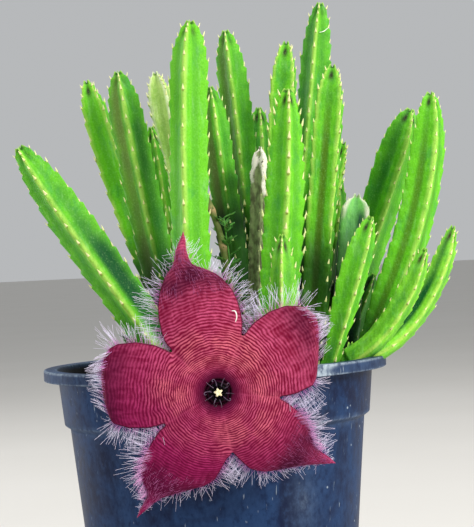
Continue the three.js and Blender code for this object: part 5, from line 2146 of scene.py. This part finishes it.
@dataclass
class SmallGrowth:
    """The dried stem, the bare stalk, the weeds and the lint.

    Each weed has a name, a root, a tip, the reach of its twigs and a seed. paper_window says, at
    distances down from the dried stem's tip, half the angle that the white paper leaves bare, and
    where the middle of that angle is. stalk_nodes holds the heights of the bare stalk's nodes.
    """

    weed_plans: tuple[tuple[str, Point, Point, float, int], ...] = (
        ("weed_sprig_middle", (15, -26, 164), (9, -25, 268), 10.0, 5),
        ("weed_sprig_left", (-42, -8, 164), (-52, -14, 230), 8.0, 8),
    )
    twigs: int = 22
    leaflets: int = 9
    stalk: tuple[Point, ...] = (
        (12, -24, 157), (12, -24, 172), (12, -25, 203), (8, -25, 250), (2, -25, 274), (-0.5, -25, 283),
    )
    stalk_nodes: tuple[float, ...] = (176, 202, 228, 252, 273)
    paper_window: tuple[Point, ...] = (
        (0.0, 0.3, -0.35), (1.2, 0.5, -0.35), (3.4, 0.36, -0.3), (4.6, -0.4, -0.2), (5.6, -0.4, -0.15),
        (6.8, 0.05, -0.15), (12.0, 0.5, -0.28), (15.0, 0.56, -0.25), (21.0, 0.55, -0.15), (26.0, 0.9, 0.0),
    )

    def build(self, kit: Kit) -> None:
        """Builds all of them.

        Args:
            kit: What the sub-assemblies share.
        """
        self.build_dried(kit)
        self.build_stalk()
        self.build_weeds(kit)
        self.build_scraps()

    def build_dried(self, kit: Kit) -> None:
        """Builds the shrivelled stem with torn white paper round its top.

        Args:
            kit: What the sub-assemblies share.
        """
        skin = Skin()
        builder = StemBuilder(groove=0.55, rib_round=0.3, roughness=0.55, tooth_swell=0.5)
        builder.add(skin, DRIED_STEM, seed=60)
        line = StemLine(DRIED_STEM, builder.step)
        grid = skin.points[0].reshape(len(line.at), -1, 3)
        across = grid - line.centre[:, None]
        right = (across * line.side[:, None]).sum(-1)
        angle = np.arctan2(right, (across * line.front[:, None]).sum(-1))
        from_tip = (line.length - line.at)[:, None]
        ragged = 2.2 * lumps(grid, 3.5, 43)
        depths, widths, turns = zip(*self.paper_window)
        gap = np.interp(from_tip, depths, widths) + 0.05 * ragged
        paper = smoothstep(23.0, 21.5, from_tip - 3.2 * np.sin(angle) + ragged)
        paper *= smoothstep(gap, gap + 0.16, np.abs(angle - np.interp(from_tip, depths, turns)))
        grid += unit(across) * (paper * (0.5 + 0.7 * lumps(grid, 2.2, 44)))[..., None]
        crown = np.ones(3 * grid.shape[1] + 1)
        skin.numbers["patch"] = [(0, paper.reshape(-1)), (paper.size, crown)]
        for _, sizes in skin.numbers["size"]:
            sizes *= 0.35
        piece = skin.make("stem_dried_skin", DEAD_SKIN.make())
        kit.plant_teeth(piece)
        settle(piece, "stem_dead", "stem_dried")

    def build_stalk(self) -> None:
        """Builds the thin bare stalk with its brown nodes."""
        skin = Skin()
        tube(skin, self.stalk, (2.4, 2.3, 2.2, 1.9, 1.7, 0.7), sides=14, steps=110)
        places = skin.points[0]
        right, _, up = zip(*self.stalk)
        line_x = np.interp(places[:, 2], up, right)
        middle = np.stack([line_x, 0 * line_x - 24.7], axis=1)
        knots = np.zeros(len(places))
        for knot_z in self.stalk_nodes:
            near = np.exp(-((places[:, 2] - knot_z) / 2.2) ** 2)
            knots = np.maximum(knots, near)
            places[:, :2] = middle + (places[:, :2] - middle) * (1 + 0.3 * near)[:, None]
        skin.numbers["patch"] = [(0, knots)]
        settle(skin.make("bare_stalk_skin", WOODY_STALK.make()), "stalk_woody", "bare_stalk")

    def build_weeds(self, kit: Kit) -> None:
        """Builds the feathery weeds.

        Args:
            kit: What the sub-assemblies share.
        """
        finish = WEED_LEAF.make()
        leaf = leaf_shape()
        for name, root, tip, spread, seed in self.weed_plans:
            random = np.random.default_rng(seed)
            skin = Skin()
            start, end = np.array(root, float), np.array(tip, float)
            bow = (start + end) / 2 + (1.5, 0, 0)
            tube(skin, (start, bow, end), (0.9, 0.7, 0.4), sides=6, steps=16)
            for branch in range(self.twigs):
                share = 0.42 + 0.58 * branch / (self.twigs - 1)
                base = start + (end - start) * share
                angle = branch * 2.4 + random.uniform(-0.4, 0.4)
                reach = spread * (1.15 - 0.5 * share) * random.uniform(0.7, 1.1)
                aim = np.array([math.cos(angle), 0.7 * math.sin(angle), random.uniform(0.3, 0.9)])
                twig = base + reach * unit(aim)
                bow = (base + twig) / 2 + (0, 0, 0.6)
                tube(skin, (base, bow, twig), (0.35, 0.3, 0.2), sides=4, steps=5)
                across = unit(np.cross(aim, (0, 0, 1)))
                for leaflet in range(self.leaflets):
                    part = 0.2 + 0.8 * leaflet / (self.leaflets - 1)
                    side = 1 if leaflet % 2 else -1
                    lean = unit(unit(aim) * 0.8 + across * side * 0.9 + (0, 0, 0.2))
                    skin.add_points((base + (twig - base) * part)[None], size=random.uniform(0.9, 1.5),
                                    aim=lean[None], lean=unit(random.normal(0, 1, 3) + (0, 0, 1))[None])
            piece = skin.make(name + "_leaves", finish)
            grow(piece, kit.scatter, Shape=leaf, Finish=finish)
            settle(piece, "weed_leaf", name)
        bpy.data.objects.remove(leaf)

    def build_scraps(self) -> None:
        """Builds the two bits of lint."""
        fleck = Skin()
        curl = ((9.9, -124.2, 217.8), (11.7, -124.5, 217.4), (12.3, -124.6, 214.6), (11.5, -124.4, 211.9))
        tube(fleck, curl, (0.2, 0.34, 0.36, 0.2), sides=8, steps=18)
        tube(fleck, ((73.4, 42.2, 380.2), (76.4, 43.6, 381.0), (79.4, 45.4, 383.4)), (0.15, 0.3, 0.15),
             sides=6, steps=12)
        settle(fleck.make("lint_fleck", LINT.make()), "star_cream")


def leaf_shape() -> bpy.types.Object:
    """A narrow pointed leaflet along +Z, thickest along its middle, that the weeds' trees copy.

    Returns:
        The leaflet.
    """
    skin = Skin()
    outline = ((0.0, 0.12), (0.8, 0.42), (1.8, 0.5), (2.7, 0.3), (3.3, 0.04))
    skin.add_closed([
        [(0.12, 0, height), (0, wide, height), (-0.12, 0, height), (0, -wide, height)]
        for height, wide in outline
    ])
    return skin.make("leaflet")


# Stage


@dataclass
class Studio:
    """The camera at the photograph's viewing angle, a pale floor and soft light."""

    eye: Point = (0, -1000, 245)
    yaw: float = 0.90
    pitch: float = -0.20
    roll: float = -2.73
    lens: float = 116.44
    floor_dark: Colour = paint(205, 202, 196)
    floor_light: Colour = paint(212, 209, 204)

    def camera(self) -> None:
        """Makes the camera."""
        yaw, pitch, roll = (math.radians(value) for value in (self.yaw, self.pitch, self.roll))
        ahead = Vector((math.sin(yaw) * math.cos(pitch), math.cos(yaw) * math.cos(pitch), math.sin(pitch)))
        right = Vector((math.cos(yaw), -math.sin(yaw), 0))
        up = right.cross(ahead)
        across = right * math.cos(roll) + up * math.sin(roll)
        above = up * math.cos(roll) - right * math.sin(roll)
        data = bpy.data.cameras.new("camera")
        data.sensor_fit, data.sensor_width, data.lens = "AUTO", 36.0, self.lens
        data.clip_start, data.clip_end = 0.05, 50.0
        eye = bpy.data.objects.new("camera", data)
        eye.matrix_world = Matrix.Translation(Vector(self.eye) * MM) @ Matrix((
            (*across,), (*above,), (*-ahead,),
        )).transposed().to_4x4()
        bpy.context.scene.collection.objects.link(eye)
        bpy.context.scene.camera = eye

    def floor(self) -> None:
        """Makes the pale floor."""
        mesh = bpy.data.meshes.new("floor")
        reach = 30.0
        mesh.from_pydata([(-reach, -reach, 0), (reach, -reach, 0), (reach, reach, 0), (-reach, reach, 0)],
                         [], [(0, 1, 2, 3)])
        brush = Brush("floor")
        tone = brush.noise(3, detail=2)
        mesh.materials.append(brush.finish(brush.mix(tone, self.floor_dark, self.floor_light), 0.8))
        ground = bpy.data.objects.new("floor", mesh)
        bpy.context.scene.collection.objects.link(ground)

    def light(self, name: str, place: Point, power: float, size: float,
              tint: Point = (1.0, 1.0, 1.0), tall: float = 0.0) -> None:
        """Adds one soft light aimed at the plant.

        Args:
            name: Its name.
            place: Where it stands, in metres.
            power: Its power in watts.
            size: Its width in metres.
            tint: Its colour.
            tall: Its height in metres, where it isn't square.
        """
        data = bpy.data.lights.new(name, "AREA")
        if tall:
            data.shape, data.size_y = "RECTANGLE", tall
        data.energy, data.size, data.color = power, size, tint
        lamp = bpy.data.objects.new(name, data)
        lamp.location = place
        lamp.rotation_euler = (Vector((0.02, 0, 0.22)) - Vector(place)).to_track_quat("-Z", "Y").to_euler()
        bpy.context.scene.collection.objects.link(lamp)

    def build(self) -> None:
        """Makes the whole stage."""
        self.camera()
        self.floor()
        self.light("key", (1.5, -1.5, 1.5), 50, 1.0, (1.0, 0.98, 0.94))
        self.light("strip", (1.7, -0.42, 0.4), 7, 0.2, tall=1.2)
        self.light("edge", (-1.3, 1.2, 0.4), 7, 0.3, tall=1.0)
        self.light("fill", (-1.8, -1.2, 0.8), 12, 1.6, (0.92, 0.96, 1.0))
        self.light("top", (0.1, 0.5, 2.1), 26, 1.6)
        world = bpy.data.worlds.new("studio")
        world.use_nodes = True
        backdrop = world.node_tree.nodes["Background"]
        backdrop.inputs["Color"].default_value = (0.86, 0.88, 0.9, 1)
        backdrop.inputs["Strength"].default_value = 0.55
        scene = bpy.context.scene
        scene.world = world
        scene.view_settings.view_transform = "Standard"


def main() -> None:
    """Builds the plant, its pot and the stage."""
    logging.basicConfig(level=logging.INFO, format="%(message)s")
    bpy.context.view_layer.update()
    Studio().build()
    kit = Kit(
        stem_skins={palette: palette.finish.make() for palette in Palette}, tooth=tooth_shape(),
        tooth_finish=ToothFinish().make(), fringe_finish=FRINGE_HAIR.make(),
        down_finish=DOWN_HAIR.make(), tuft_finish=TUFT_HAIR.make(),
        scatter=scatter_tree(), hair=hair_tree(),
    )
    Pot().build()
    Soil().build(kit)
    Stems().build(kit)
    FlowerBearer().build(kit)
    Corolla().build(kit)
    FlowerMiddle().build()
    SmallGrowth().build(kit)
    bpy.data.objects.remove(kit.tooth)


if __name__ == "__main__":
    main()
